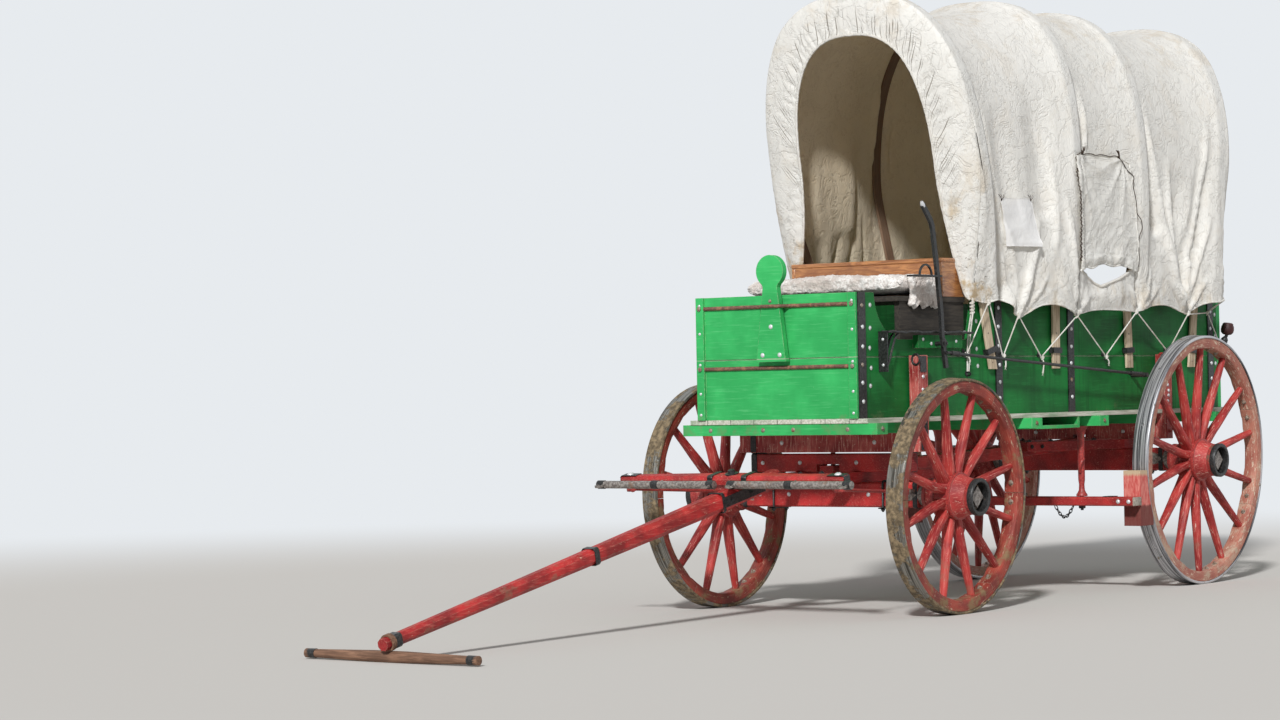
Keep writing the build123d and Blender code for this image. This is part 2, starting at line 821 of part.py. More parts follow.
# Side irons: the upright straps, and a staple that holds each foot of a bow against the box
with BuildPart() as side_irons:
    for x in strap_stations:
        for side in (1, -1):
            slab((x - strap_width / 2, x + strap_width / 2), (side * box_half, side * (box_half + strap_thickness)),
                 (floor_top, box_top))
    for station, lean, crown in bow_table:
        for side in (1, -1):
            far = bow_foot_half + bow_thickness
            with BuildSketch(leaning_plane(station, lean)):
                with Locations((side * (box_half + far + staple_iron) / 2, up(lean, staple_low))):
                    Rectangle(far + staple_iron - box_half, staple_height)
            extrude(amount=bow_width / 2 + staple_iron, both=True)
            with BuildSketch(leaning_plane(station, lean)):
                with Locations((side * (box_half + far + seat_gap) / 2, up(lean, staple_low))):
                    Rectangle(far + seat_gap - box_half, staple_height + 2)
            extrude(amount=bow_width / 2 + seat_gap, both=True, mode=Mode.SUBTRACT)
keep(side_irons, "side_irons")

# Cover sections between and beyond the bows, from front to rear:
# station at the foot, lean, height of the hem and of the ridge, half width at hem and shoulder
full = bow_shoulder_half + seat_gap + cover_thickness
front_mouth = (-582, 11.9, 1552, 2917, box_half + 20, box_half - 66)
front_cap = (-640, 13.0, 1556, 3058, box_half + 40, full - 76)
valley_1 = (-985, 7.2, 1450, 3040, full - 52, full - 44)
valley_2 = (-1790, 0.5, 1505, 3130, full - 34, full - 30)
valley_3 = (-2580, -3.2, 1486, 3098, full - 40, full - 38)
rear_cap = (box_rear + 236, -7.4, 1592, 3094, full + 4, full - 70)
rear_mouth = (box_rear + 168, -7.4, 1600, 2935, box_half + 48, box_half - 56)
bow_hems = ((1546, 1532), (1478, 1470), (1503, 1503), (1545, 1572))
bow_hem_half = (box_half + 44, full - 30, full - 76, full - 24)


def over_bow(number, edge):
    # The cover lies flat across a bow, from just before its front edge to just behind its rear edge.
    station, lean, crown = bow_table[number]
    ridge = crown + seat_gap + cover_thickness
    return cover_face(station, lean, bow_hems[number][edge], ridge, bow_hem_half[number], full,
                      cover_band * (edge - 0.5))


def cover_face(station, lean, hem, ridge, hem_half, shoulder_half, behind=0):
    outer = arch(lean, shoulder_half, ridge)
    inner = arch(lean, shoulder_half - cover_thickness, ridge - cover_thickness)
    low = up(lean, hem)
    inset = hem_half - cover_thickness
    points = [(hem_half, low), *outer, (-hem_half, low), (-inset, low), *inner[::-1], (inset, low)]
    plane = leaning_plane(station, lean).offset(behind)
    return Face(Wire.make_polygon([plane.from_local_coords(Vector(*point)) for point in points], close=True))


with BuildPart() as cover:
    faces = [cover_face(*front_mouth), cover_face(*front_cap)]
    for number, after in enumerate((valley_1, valley_2, valley_3, rear_cap)):
        faces += [over_bow(number, 0), over_bow(number, 1), cover_face(*after)]
    faces.append(cover_face(*rear_mouth))
    loft(sections=faces, ruled=True)
keep(cover, "cover")

# Seat: a board on two risers, with a plank chest on its back part and a fleece pad before it
with BuildPart() as seat_frame:
    slab((chest_rear, seat_front), (-seat_half, seat_half), (seat_board_top - seat_board_thickness, seat_board_top))
    riser = box_half - board - riser_thickness - seat_gap
    for side in (1, -1):
        slab((chest_rear, seat_front - riser_setback), (side * riser, side * (riser + riser_thickness)),
             (floor_top + seat_gap, seat_board_top - seat_board_thickness))
keep(seat_frame, "seat_frame")

with BuildPart() as seat_chest:
    slab((chest_rear, chest_front), (-seat_half, seat_half), (seat_board_top + seat_gap, chest_top))
    chamfer(seat_chest.edges().filter_by(Axis.Y), length=6)
keep(seat_chest, "seat_chest")

with BuildPart() as seat_cushion:
    slab((chest_front + seat_gap, seat_front), (-seat_half, seat_half), (seat_board_top + seat_gap, cushion_top))
    fillet(seat_cushion.edges().filter_by(Axis.Y), radius=cushion_round)
keep(seat_cushion, "seat_cushion")

with BuildPart() as side_steps:
    for side in (1, -1):
        near = side * (box_half + seat_gap)
        far = side * step_out
        slab((step_rear, step_front), (near, far), (step_z - step_thickness, step_z))
        slab((step_leg_x, step_leg_x + step_thickness), (near, far), (step_leg_low, step_z))
        slab((step_front, step_leg_x + 1), (near, far), (step_z - step_thickness, step_z))
keep(side_steps, "side_steps")

# Brake: lever and rod on the left side, and a beam with a wooden block before each rear wheel
lever_route = ((-16, 2015), (-98, 1925), (-130, 1740), (-168, 1470), (-172, 1370), (-204, 1208))
lever_pivot = (-176, 1330)
with BuildPart() as brake_lever:
    with BuildSketch(Plane.XZ.offset(-lever_y - lever_thickness / 2)):
        with BuildLine():
            FilletPolyline(*lever_route, radius=lever_bend)
        trace(line_width=lever_width)
    extrude(amount=lever_thickness)
    rod((lever_pivot[0], box_half + batten_thickness + seat_gap, lever_pivot[1]),
        (lever_pivot[0], lever_y, lever_pivot[1]), lever_width / 2 - 2)
    slab((pedal_rear, pedal_front), (lever_y - pedal_width / 2, lever_y + pedal_width / 2),
         (pedal_z - pedal_iron, pedal_z))
    with BuildSketch(Plane.XZ.offset(-lever_y - pedal_iron / 2)):
        with BuildLine():
            foot = pedal_z - pedal_iron / 2
            ThreePointArc((pedal_loop_x - pedal_loop_radius, foot), (pedal_loop_x, foot + pedal_loop_radius),
                          (pedal_loop_x + pedal_loop_radius, foot))
        trace(line_width=pedal_iron)
    extrude(amount=pedal_iron)
    rod((rod_front_x, rod_y, rod_front_z), (crank_x, rod_y, crank_z), rod_radius)
    rod((crank_x, box_half + seat_gap, crank_z), (crank_x, rod_y + rod_radius + 5, crank_z), rod_radius + 5)
keep(brake_lever, "brake_lever")

rear_axle_x = -wheelbase
tread_clear = rear_radius + 3 + brake_gap
block_back = rear_axle_x + sqrt(tread_clear ** 2 - (rear_axle_z - brake_block_high) ** 2)
with BuildPart() as brake_blocks:
    for side in (1, -1):
        y = side * tyre_mid_y
        slab((block_back - 60, block_back + brake_block_depth), (y - brake_block_width / 2, y + brake_block_width / 2),
             (brake_block_low, brake_block_high))
        with Locations(Location((rear_axle_x, y, rear_axle_z), (90, 0, 0))):
            Cylinder(tread_clear, 2 * brake_block_width, mode=Mode.SUBTRACT)
keep(brake_blocks, "brake_blocks")

beam_back = block_back + brake_block_depth
with BuildPart() as brake_beam:
    slab((beam_back, beam_back + brake_beam_depth), (-brake_beam_half, brake_beam_half),
         (brake_beam_z - brake_beam_height / 2, brake_beam_z + brake_beam_height / 2))
    chamfer(brake_beam.edges().filter_by(Axis.Y), length=6)
    for side in (1, -1):
        x = beam_back + brake_beam_depth / 2
        rod((x, side * brake_hanger_y, brake_beam_z + brake_beam_height / 2), (x, side * brake_hanger_y, bolster_top),
            brake_hanger_radius)
keep(brake_beam, "brake_beam")
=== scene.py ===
# Dresses the covered wagon: paint, wood, iron, canvas and rope around its solid parts.
# Metres, +X forward, +Y to the wagon's left, +Z up, origin on the ground under the front axle.
import math
import random

import bpy
import numpy as np
from mathutils import Matrix, Vector, noise
from mathutils.bvhtree import BVHTree


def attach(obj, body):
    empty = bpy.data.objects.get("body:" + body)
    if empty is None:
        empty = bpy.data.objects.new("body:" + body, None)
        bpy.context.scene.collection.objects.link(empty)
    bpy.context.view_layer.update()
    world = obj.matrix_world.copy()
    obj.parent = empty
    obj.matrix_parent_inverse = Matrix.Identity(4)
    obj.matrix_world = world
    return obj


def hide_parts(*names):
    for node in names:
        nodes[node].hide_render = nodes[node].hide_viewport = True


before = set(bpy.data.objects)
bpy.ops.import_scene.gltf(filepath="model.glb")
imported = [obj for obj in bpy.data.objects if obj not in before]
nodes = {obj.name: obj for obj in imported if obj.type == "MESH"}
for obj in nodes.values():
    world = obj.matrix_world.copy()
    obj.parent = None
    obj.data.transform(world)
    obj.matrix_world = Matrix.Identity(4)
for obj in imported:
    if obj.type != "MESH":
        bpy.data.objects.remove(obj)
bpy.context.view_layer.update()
dice = random.Random(17)
print("frame loaded:", len(nodes), "nodes")


# Shader tools
class Value:
    # wraps a socket, so that shader maths is written as plain sums
    def __init__(self, shader, socket):
        self.shader = shader
        self.socket = socket

    def sum(self, operation, first, second=None):
        return self.shader.sum(operation, first, second)

    def __add__(self, other):
        return self.sum("ADD", self, other)

    def __sub__(self, other):
        return self.sum("SUBTRACT", self, other)

    def __rsub__(self, other):
        return self.sum("SUBTRACT", other, self)

    def __mul__(self, other):
        return self.sum("MULTIPLY", self, other)

    def __pow__(self, other):
        return self.sum("POWER", self, other)

    def __abs__(self):
        return self.sum("ABSOLUTE", self)

    __radd__ = __add__
    __rmul__ = __mul__


class Shader:
    def __init__(self, name):
        self.material = bpy.data.materials.new(name)
        self.material.use_nodes = True
        self.tree = self.material.node_tree
        self.tree.nodes.clear()

    def node(self, kind, settings=None, inputs=None, output=0):
        made = self.tree.nodes.new("ShaderNode" + kind)
        for key, value in (settings or {}).items():
            setattr(made, key, value)
        for key, value in (inputs or {}).items():
            socket = made.inputs[key]
            if isinstance(value, Value):
                self.tree.links.new(value.socket, socket)
            elif value is not None:
                if socket.type == "RGBA" and len(value) == 3:
                    value = (*value, 1)
                socket.default_value = value
        return Value(self, made.outputs[output] if made.outputs else None)

    def sum(self, operation, first, second=None):
        return self.node("Math", {"operation": operation}, {0: first, 1: second})

    def place(self, stretch=(1, 1, 1), grain=True):
        # where a point lies along its piece's grain, or on the object, stretched for a texture
        if grain:
            spot = self.node("Attribute", {"attribute_name": "grain"}, output=1)
        else:
            spot = self.node("TexCoord", output=3)
        return self.node("VectorMath", {"operation": "MULTIPLY"}, {0: spot, 1: stretch})

    def axes(self, spot):
        split = self.node("SeparateXYZ", None, {0: spot})
        return [Value(self, socket) for socket in split.socket.node.outputs]

    def noise(self, spot, scale, detail=3, rough=0.55, twist=0.0):
        return self.node("TexNoise", None, {
            "Vector": spot, "Scale": scale, "Detail": detail, "Roughness": rough, "Distortion": twist})

    def ease(self, value, low, high):
        return self.node("MapRange", {"interpolation_type": "SMOOTHSTEP"}, {0: value, 1: low, 2: high})

    def mix(self, share, first, second, mode="MIX"):
        return self.node("Mix", {"data_type": "RGBA", "blend_type": mode}, {0: share, 6: first, 7: second}, 2)

    def worn(self, radius):
        # where a hard edge is near, and the normal rounded over it
        rounded = self.node("Bevel", {"samples": 4}, {0: radius})
        plain = self.node("NewGeometry", output=1)
        meet = self.node("VectorMath", {"operation": "DOT_PRODUCT"}, {0: rounded, 1: plain}, 1)
        return self.ease(meet, 0.985, 0.86), rounded

    def bump(self, height, strength, depth, under=None):
        return self.node("Bump", None, {
            "Height": height, "Strength": strength, "Distance": depth, "Normal": under})

    def surface(self, inputs):
        shell = self.node("BsdfPrincipled", None, inputs)
        self.node("OutputMaterial", None, {0: shell})
        return self.material


def paintedWood(name, look, grain=True):
    # paint over wood: faded patches, grain lines, chips down to the wood, dirt towards the ground
    shader = Shader(name)
    along = look.get("along", (1, 1, 1))
    soft = shader.noise(shader.place((2, 2, 2), grain), look.get("patch", 2.5), 4)
    lines = shader.noise(shader.place(along, grain), 14, 5, 0.62)
    fine = shader.noise(shader.place(along, grain), 60, 3)
    flecks = shader.noise(shader.place(look.get("flake", (3, 9, 9)), grain), 7, 8, 0.72)
    colour = shader.mix(shader.ease(soft, 0.35, 0.68), look["dark"], look["paint"])
    colour = shader.mix(shader.ease(lines, 0.5, 0.75) * look.get("fade", 0.4), colour, look["faded"])
    edges, rounded = shader.worn(look.get("round", 0.004))
    edges = edges * shader.ease(flecks, 0.40, 0.56) * look.get("wear", 0.75)
    colour = shader.mix(edges, colour, look["wood"])
    chips = shader.ease(flecks + lines * 0.25, look["chip"], look["chip"] + 0.035)
    colour = shader.mix(chips * look.get("chipShare", 1), colour, look["wood"])
    cracks = shader.ease(lines, 0.36, 0.27) * look.get("crack", 0.5)
    colour = shader.mix(cracks, colour, look["gap"])
    height = shader.axes(shader.node("TexCoord", output=3))[2]
    splash = shader.noise(shader.place((1, 1, 1), False), 9, 6, 0.7)
    low, high = look.get("mudHeights", (0.2, 0.9))
    mud = shader.ease(splash - shader.ease(height, low, high) * 0.5, 0.5, 0.62) * look.get("mud", 0)
    colour = shader.mix(mud, colour, look.get("mudColour", (0.2, 0.155, 0.1)))
    if "drip" in look:
        drips = shader.noise(shader.place((7, 7, 0.35), False), 4, 5, 0.65)
        colour = shader.mix(shader.ease(drips, 0.5, 0.68) * look["drip"], colour, look["dark"])
    if "seam" in look:
        # the joint of the two boards, its paint cracked open
        line = shader.noise(shader.place((1.2, 1.2, 30), False), 8, 4, 0.7)
        seam = shader.ease(abs(height - look["seam"]), 0.0035, 0.0015) * shader.ease(line, 0.42, 0.5)
        colour = shader.mix(seam, colour, look["seamColour"])
        scratches = shader.noise(shader.place((26, 26, 3.2), False), 5, 6, 0.75)
        scratch = shader.ease(scratches, 0.70, 0.74)
        colour = shader.mix(scratch * 0.8, colour, look["wood"])
    relief = lines * 0.55 + fine * 0.25 - chips * 0.7 - cracks * 0.8 + mud * 0.5
    rough = look.get("rough", 0.5) + chips * 0.3 + mud * 0.3 + soft * 0.15
    return shader.surface({
        "Base Color": colour, "Roughness": rough,
        "Normal": shader.bump(relief, look.get("relief", 0.5), 0.0025, rounded),
        "Specular IOR Level": look.get("gloss", 0.4)})


def bareWood(name, look, grain=True):
    shader = Shader(name)
    along = look.get("along", (1.2, 14, 14))
    soft = shader.noise(shader.place((2, 2, 2), grain), 2.2, 3)
    lines = shader.noise(shader.place(along, grain), look.get("scale", 6), 6, 0.65, look.get("twist", 0.3))
    pores = shader.noise(shader.place(along, grain), look.get("scale", 6) * 7, 2)
    colour = shader.mix(shader.ease(lines, 0.36, 0.66), look["dark"], look["light"])
    colour = shader.mix(shader.ease(soft, 0.45, 0.75) * look.get("stainShare", 0.5), colour, look["stain"])
    cracks = shader.ease(lines, 0.33, 0.27)
    colour = shader.mix(cracks * 0.8, colour, look["gap"])
    if "planks" in look:
        beside = shader.sum("PINGPONG", shader.axes(shader.place((1, 1, 1), False))[1], look["planks"])
        colour = shader.mix(shader.ease(beside, 0.0022, 0.0010), colour, look["gap"])
    if "zones" in look:
        # other colours by height
        height = shader.axes(shader.place((1, 1, 1), False))[2] + lines * look.get("ragged", 0.2)
        for low, high, tint in look["zones"]:
            colour = shader.mix(shader.ease(height, low, high) * 0.85, colour, tint)
    return shader.surface({
        "Base Color": colour, "Roughness": look.get("rough", 0.7) + pores * 0.2,
        "Normal": shader.bump(lines * 0.7 + pores * 0.3 - cracks, look.get("relief", 0.45), 0.002,
                              shader.worn(look.get("round", 0.003))[1]),
        "Coat Weight": look.get("coat", 0.0), "Coat Roughness": 0.2})


def ironwork(name, look):
    # forged iron: uneven skin, rust in patches, worn bright or painted
    shader = Shader(name)
    skin = shader.noise(shader.place((1, 1, 1), False), look.get("skin", 120), 4)
    patch = shader.noise(shader.place((1, 1, 1), False), look.get("patch", 14), 6, 0.7)
    rust = shader.ease(patch, look["rustFrom"], look["rustFrom"] + 0.1)
    colour = shader.mix(shader.ease(skin, 0.35, 0.7), look["dark"], look["light"])
    colour = shader.mix(rust, colour, look["rust"])
    return shader.surface({
        "Base Color": colour, "Roughness": look.get("rough", 0.45) + rust * 0.3,
        "Metallic": look.get("metal", 0.6) - rust * look.get("metal", 0.6) * 0.8,
        "Normal": shader.bump(skin * 0.5 + patch * 0.5, look.get("relief", 0.35), 0.0015)})


def wornTyre(name, look):
    # iron ground bright along its tread, with mud caked on
    shader = Shader(name)
    streaks = shader.noise(shader.place((2.5, 130, 1)), 1.0, 5, 0.6)
    pits = shader.noise(shader.place((1, 1, 1), False), 38, 6, 0.65)
    lumps = shader.noise(shader.place((1, 1, 1), False), look["lump"], 8, 0.74)
    caked = shader.ease(lumps, look["mudFrom"], look["mudFrom"] + 0.06)
    colour = shader.mix(shader.ease(streaks, 0.36, 0.62), look["dark"], look["light"])
    mud = shader.mix(shader.ease(pits, 0.36, 0.66), look["mudDark"], look["mudLight"])
    colour = shader.mix(caked, colour, mud)
    return shader.surface({
        "Base Color": colour, "Roughness": 0.3 + streaks * 0.25 + caked * 0.4,
        "Metallic": 0.75 - caked * 0.75,
        "Normal": shader.bump(streaks * 0.35 + pits * 0.2 + caked * lumps * 2, 0.7, 0.003)})


green = {"paint": (0.012, 0.176, 0.036), "dark": (0.006, 0.088, 0.018), "faded": (0.032, 0.27, 0.070),
         "wood": (0.62, 0.58, 0.46), "gap": (0.006, 0.04, 0.012), "chip": 0.84, "along": (0.5, 8, 8),
         "flake": (2.2, 6, 6), "fade": 0.35, "crack": 0.25, "rough": 0.46, "relief": 0.3, "patch": 1.6,
         "gloss": 0.16, "drip": 0.75, "wear": 0.55, "mud": 0.3, "mudHeights": (0.9, 1.3), "seam": 1.266,
         "seamColour": (0.30, 0.42, 0.27)}
red = {"paint": (0.50, 0.024, 0.024), "dark": (0.22, 0.010, 0.011), "faded": (0.66, 0.19, 0.15),
       "wood": (0.58, 0.30, 0.22), "gap": (0.05, 0.008, 0.008), "chip": 0.76, "along": (0.9, 14, 14),
       "fade": 0.6, "crack": 0.6, "rough": 0.5, "relief": 0.5, "patch": 3.2, "mud": 0.5}
# the one green paint twice: a darker copy on the side boards as painted shade, a brighter copy on the ends,
# sills, post and tray as painted light
greenPaintShaded = paintedWood("greenPaintShaded", green, False)
greenPaintLit = paintedWood("greenPaintLit", dict(
    green, paint=(0.052, 0.50, 0.140), dark=(0.030, 0.34, 0.090), faded=(0.16, 0.62, 0.25), drip=0.2,
    gap=(0.01, 0.07, 0.02), along=(8, 0.5, 8), flake=(6, 2.2, 6)), False)
redPaint = paintedWood("redPaint", red, False)
stakePaint = paintedWood("stakePaint", dict(
    red, paint=(0.50, 0.10, 0.085), faded=(0.74, 0.38, 0.32), fade=1.0, wear=1.0, chip=0.72,
    wood=(0.66, 0.44, 0.36), along=(14, 14, 0.9)), False)
spokePaint = paintedWood("spokePaint", dict(
    red, paint=(0.47, 0.045, 0.038), faded=(0.68, 0.27, 0.21), fade=0.9, chip=0.74, wood=(0.62, 0.40, 0.33),
    mud=0.35))
rearFelloe = paintedWood("rearFelloe", dict(
    red, paint=(0.46, 0.20, 0.14), dark=(0.32, 0.10, 0.07), faded=(0.64, 0.44, 0.33), chip=0.68,
    wood=(0.60, 0.46, 0.35), mud=0.9, mudHeights=(0.3, 2.6), mudColour=(0.46, 0.34, 0.25)))
frontFelloe = paintedWood("frontFelloe", dict(
    red, paint=(0.34, 0.050, 0.032), dark=(0.15, 0.020, 0.014), faded=(0.46, 0.21, 0.14), chip=0.72,
    wood=(0.50, 0.36, 0.25), mud=0.95, mudHeights=(0.2, 2.6), mudColour=(0.22, 0.145, 0.075)))
hubWood = paintedWood("hubWood", dict(
    red, paint=(0.46, 0.05, 0.045), faded=(0.62, 0.24, 0.19), fade=0.9, chip=0.72, wood=(0.56, 0.34, 0.27),
    along=(0.7, 11, 11), mud=0.3))
knobPaint = paintedWood("knobPaint", dict(
    red, paint=(0.075, 0.014, 0.013), dark=(0.030, 0.007, 0.007), faded=(0.13, 0.045, 0.04),
    wood=(0.16, 0.08, 0.06)), False)
paleWood = bareWood("paleWood", {
    "light": (0.66, 0.56, 0.43), "dark": (0.40, 0.30, 0.20), "stain": (0.28, 0.20, 0.13),
    "gap": (0.10, 0.07, 0.045), "along": (14, 14, 1.2)}, False)
deckWood = bareWood("deckWood", {
    "light": (0.66, 0.65, 0.57), "dark": (0.36, 0.37, 0.29), "stain": (0.07, 0.22, 0.09),
    "gap": (0.03, 0.035, 0.02), "planks": 0.0707, "along": (1.0, 14, 14)}, False)
chestWood = bareWood("chestWood", {
    "light": (0.52, 0.24, 0.085), "dark": (0.26, 0.10, 0.035), "stain": (0.20, 0.08, 0.03),
    "gap": (0.06, 0.025, 0.012), "along": (2.4, 1.0, 9), "twist": 1.4, "scale": 5, "rough": 0.35,
    "coat": 0.5}, False)
# painted shade: the frame under the seat is made nearly black, as the shade beneath the seat
seatShadeWood = bareWood("seatShadeWood", {
    "light": (0.050, 0.040, 0.030), "dark": (0.018, 0.014, 0.011), "stain": (0.012, 0.010, 0.008),
    "gap": (0.006, 0.005, 0.004)}, False)
yokeWood = bareWood("yokeWood", {
    "light": (0.26, 0.14, 0.085), "dark": (0.12, 0.06, 0.035), "stain": (0.07, 0.035, 0.02),
    "gap": (0.02, 0.012, 0.01), "along": (14, 1.2, 14)}, False)
blackIron = ironwork("blackIron", {
    "light": (0.045, 0.045, 0.045), "dark": (0.012, 0.012, 0.012), "rust": (0.09, 0.05, 0.03),
    "rustFrom": 0.62, "metal": 0.3, "rough": 0.42})
paleIron = ironwork("paleIron", {
    "light": (0.36, 0.33, 0.30), "dark": (0.13, 0.11, 0.10), "rust": (0.20, 0.12, 0.08), "rustFrom": 0.56,
    "metal": 0.35, "rough": 0.42, "skin": 90})
redIron = ironwork("redIron", {
    "light": (0.42, 0.05, 0.04), "dark": (0.22, 0.02, 0.02), "rust": (0.14, 0.07, 0.045), "rustFrom": 0.56,
    "metal": 0.0, "rough": 0.45})
rearTyre = wornTyre("rearTyre", {
    "light": (0.58, 0.58, 0.60), "dark": (0.07, 0.07, 0.08), "mudDark": (0.10, 0.08, 0.055),
    "mudLight": (0.34, 0.28, 0.20), "mudFrom": 0.60, "lump": 16})
frontTyre = wornTyre("frontTyre", {
    "light": (0.30, 0.29, 0.26), "dark": (0.05, 0.045, 0.035), "mudDark": (0.085, 0.062, 0.034),
    "mudLight": (0.27, 0.20, 0.115), "mudFrom": 0.44, "lump": 9})
# the crease colour is painted shade in creases and deep folds; the speck colour is both mildew specks and
# painted shade in the gathered slits
canvasLook = {"cloth": (0.90, 0.89, 0.85), "shade": (0.82, 0.81, 0.765), "tan": (0.62, 0.48, 0.30),
              "dust": (0.50, 0.44, 0.35), "speckAndSlitShade": (0.13, 0.10, 0.07), "crease": (0.58, 0.55, 0.49),
              "glow": (0.80, 0.70, 0.52)}


def canvasCloth(name, look):
    # cotton duck: woven threads, soft yellowing, rain stains and mildew low down at the front
    shader = Shader(name)
    spot = shader.place((1, 1, 1), False)
    x, y, z = shader.axes(spot)
    broad = shader.noise(spot, 1.6, 4, 0.6)
    blotch = shader.noise(spot, 5.5, 6, 0.68, 0.4)
    streaks = shader.noise(shader.place((6, 6, 0.8), False), 3.2, 5, 0.6)
    colour = shader.mix(shader.ease(broad, 0.35, 0.7) * 0.5, look["cloth"], look["shade"])
    frontBand = shader.ease(x, -0.80, -0.62) * shader.ease(z, 2.35, 1.75)
    hem = shader.ease(z, 1.75, 1.48)
    crown = shader.ease(z, 2.75, 3.1) * 0.2
    stained = shader.ease(blotch + streaks * 0.35, 0.66, 0.86) * (0.13 + frontBand * 0.9 + hem * 0.4 + crown)
    colour = shader.mix(stained, colour, look["tan"])
    dusty = shader.ease(streaks, 0.5, 0.75) * (hem * 0.35 + frontBand * 0.25)
    colour = shader.mix(dusty, colour, look["dust"])
    mildew = shader.noise(spot, 48, 3, 0.75)
    specks = shader.ease(mildew, 0.635, 0.70) * (0.05 + frontBand * 0.9)
    colour = shader.mix(specks, colour, look["speckAndSlitShade"])
    # creases: the cloth is darkened along them towards the crease colour as painted shade, and dented by the
    # bump below
    fold = shader.noise(spot, 9, 4, 0.62, 0.9)
    wrinkle = shader.noise(shader.place((1, 1, 0.7), False), 26, 4, 0.6, 0.7)
    crease = shader.ease(abs(fold - 0.5), 0.05, 0.0)
    fine = shader.ease(abs(wrinkle - 0.5), 0.06, 0.0)
    colour = shader.mix(crease * fine * 0.35, colour, look["crease"])
    # slits gathered by the draw cord at both mouths
    run, over, depth = shader.axes(shader.place((1, 1, 1)))
    slit = shader.noise(shader.place((2.4, 98, 1)), 1.0, 1, 0.4)
    reach = shader.noise(shader.place((0.5, 16, 1)), 1.0, 1) * 0.20 + 0.03
    fromMouth = shader.sum("MINIMUM", run, look["length"] - run) if look.get("length") else run
    gather = shader.ease(slit, 0.40, 0.34) * shader.ease(fromMouth - reach, 0.01, -0.03) \
        * shader.ease(z, 1.95, 2.3)
    # painted shade: the deep of the folds, read from the grain's third place, is darkened towards the crease
    # colour
    colour = shader.mix(shader.ease(depth, -0.0015, -0.010) * 0.7, colour, look["crease"])
    # painted shade: the slits gathered at both mouths are darkened almost to black
    if look.get("length"):
        colour = shader.mix(gather * 0.8, colour, look["speckAndSlitShade"])
    warp = shader.noise(shader.place((900, 60, 1)), 1.0, 1)
    weft = shader.noise(shader.place((60, 900, 1)), 1.0, 1)
    relief = shader.bump((warp + weft) * 0.5, 0.3, 0.0006)
    relief = shader.bump(1 - crease * 0.8 - fine * 0.35 - gather * 1.2, 0.6, look.get("depth", 0.0045),
                         relief)
    cloth = shader.node("BsdfPrincipled", None, {
        "Base Color": colour, "Roughness": 0.88, "Normal": relief, "Specular IOR Level": 0.2,
        "Sheen Weight": 0.15})
    glow = shader.node("BsdfTranslucent", None, {"Color": (*look["glow"], 1)})
    shader.node("OutputMaterial", None, {0: shader.node("MixShader", None, {0: 0.2, 1: cloth, 2: glow})})
    return shader.material


canvas = canvasCloth("canvas", dict(canvasLook, length=4.13))
patchCloth = canvasCloth("patchCloth", canvasLook)
# the inner face: a darker, warmer copy of the canvas, as painted shade inside the cover
inside = canvasCloth("inside", dict(
    canvasLook, cloth=(0.80, 0.71, 0.55), shade=(0.66, 0.56, 0.40), tan=(0.50, 0.38, 0.22),
    crease=(0.50, 0.40, 0.28), glow=(0.88, 0.70, 0.44)))
rustyBolt = ironwork("rustyBolt", {
    "light": (0.42, 0.38, 0.33), "dark": (0.22, 0.17, 0.13), "rust": (0.20, 0.10, 0.05), "rustFrom": 0.5,
    "metal": 0.5, "rough": 0.5, "patch": 60})
driedMud = bareWood("driedMud", {
    "light": (0.36, 0.29, 0.19), "dark": (0.18, 0.13, 0.08), "stain": (0.10, 0.07, 0.045),
    "gap": (0.05, 0.035, 0.02), "along": (3, 3, 3), "scale": 20, "relief": 0.8, "rough": 0.85}, False)
blockWood = bareWood("blockWood", {
    "light": (0.66, 0.24, 0.20), "dark": (0.50, 0.07, 0.06), "stain": (0.48, 0.02, 0.03),
    "gap": (0.16, 0.04, 0.03), "along": (14, 14, 3), "ragged": 0.03,
    "zones": ((0.485, 0.470, (0.085, 0.022, 0.016)), (0.628, 0.650, (0.50, 0.42, 0.27)))}, False)
endGrain = bareWood("endGrain", {
    "light": (0.46, 0.42, 0.36), "dark": (0.24, 0.21, 0.17), "stain": (0.16, 0.13, 0.10),
    "gap": (0.06, 0.05, 0.04), "along": (5, 5, 5), "scale": 14}, False)
# dark thread: the flap's stitches, and along the lapped seams' edges also painted shade
darkThreadAndLapShade = bareWood("darkThreadAndLapShade", {
    "light": (0.10, 0.08, 0.06), "dark": (0.04, 0.03, 0.025), "stain": (0.05, 0.04, 0.03),
    "gap": (0.02, 0.015, 0.01), "rough": 0.8})
darkCord = bareWood("darkCord", {
    "light": (0.085, 0.05, 0.03), "dark": (0.03, 0.02, 0.014), "stain": (0.05, 0.03, 0.02),
    "gap": (0.015, 0.01, 0.008), "along": (90, 220, 220), "rough": 0.85, "relief": 0.9})
print("materials made")

# red paint is the finish of every node that isn't named here
finishes = {
    "tyre": rearTyre, "front_bolster": stakePaint, "rear_bolster": stakePaint, "brake_blocks": blockWood,
    "box_side_left": greenPaintShaded, "box_side_right": greenPaintShaded, "front_board": greenPaintLit,
    "tailgate": greenPaintLit, "rein_post": greenPaintLit, "cross_sills": greenPaintLit, "box_floor": deckWood,
    "tool_tray": greenPaintLit, "bow_1": paleWood, "bow_2": paleWood, "bow_3": paleWood, "bow_4": paleWood,
    "seat_chest": chestWood, "seat_frame": seatShadeWood, "side_irons": blackIron, "side_steps": blackIron,
    "brake_lever": blackIron, "singletrees": paleIron, "neck_yoke": yokeWood, "front_arms": paleIron,
    "rear_arms": paleIron, "stay_rods": redIron,
}
for name, node in nodes.items():
    finish = finishes.get(name) or finishes.get(name.split("_")[-1]) or redPaint
    node.data.materials.clear()
    node.data.materials.append(finish)

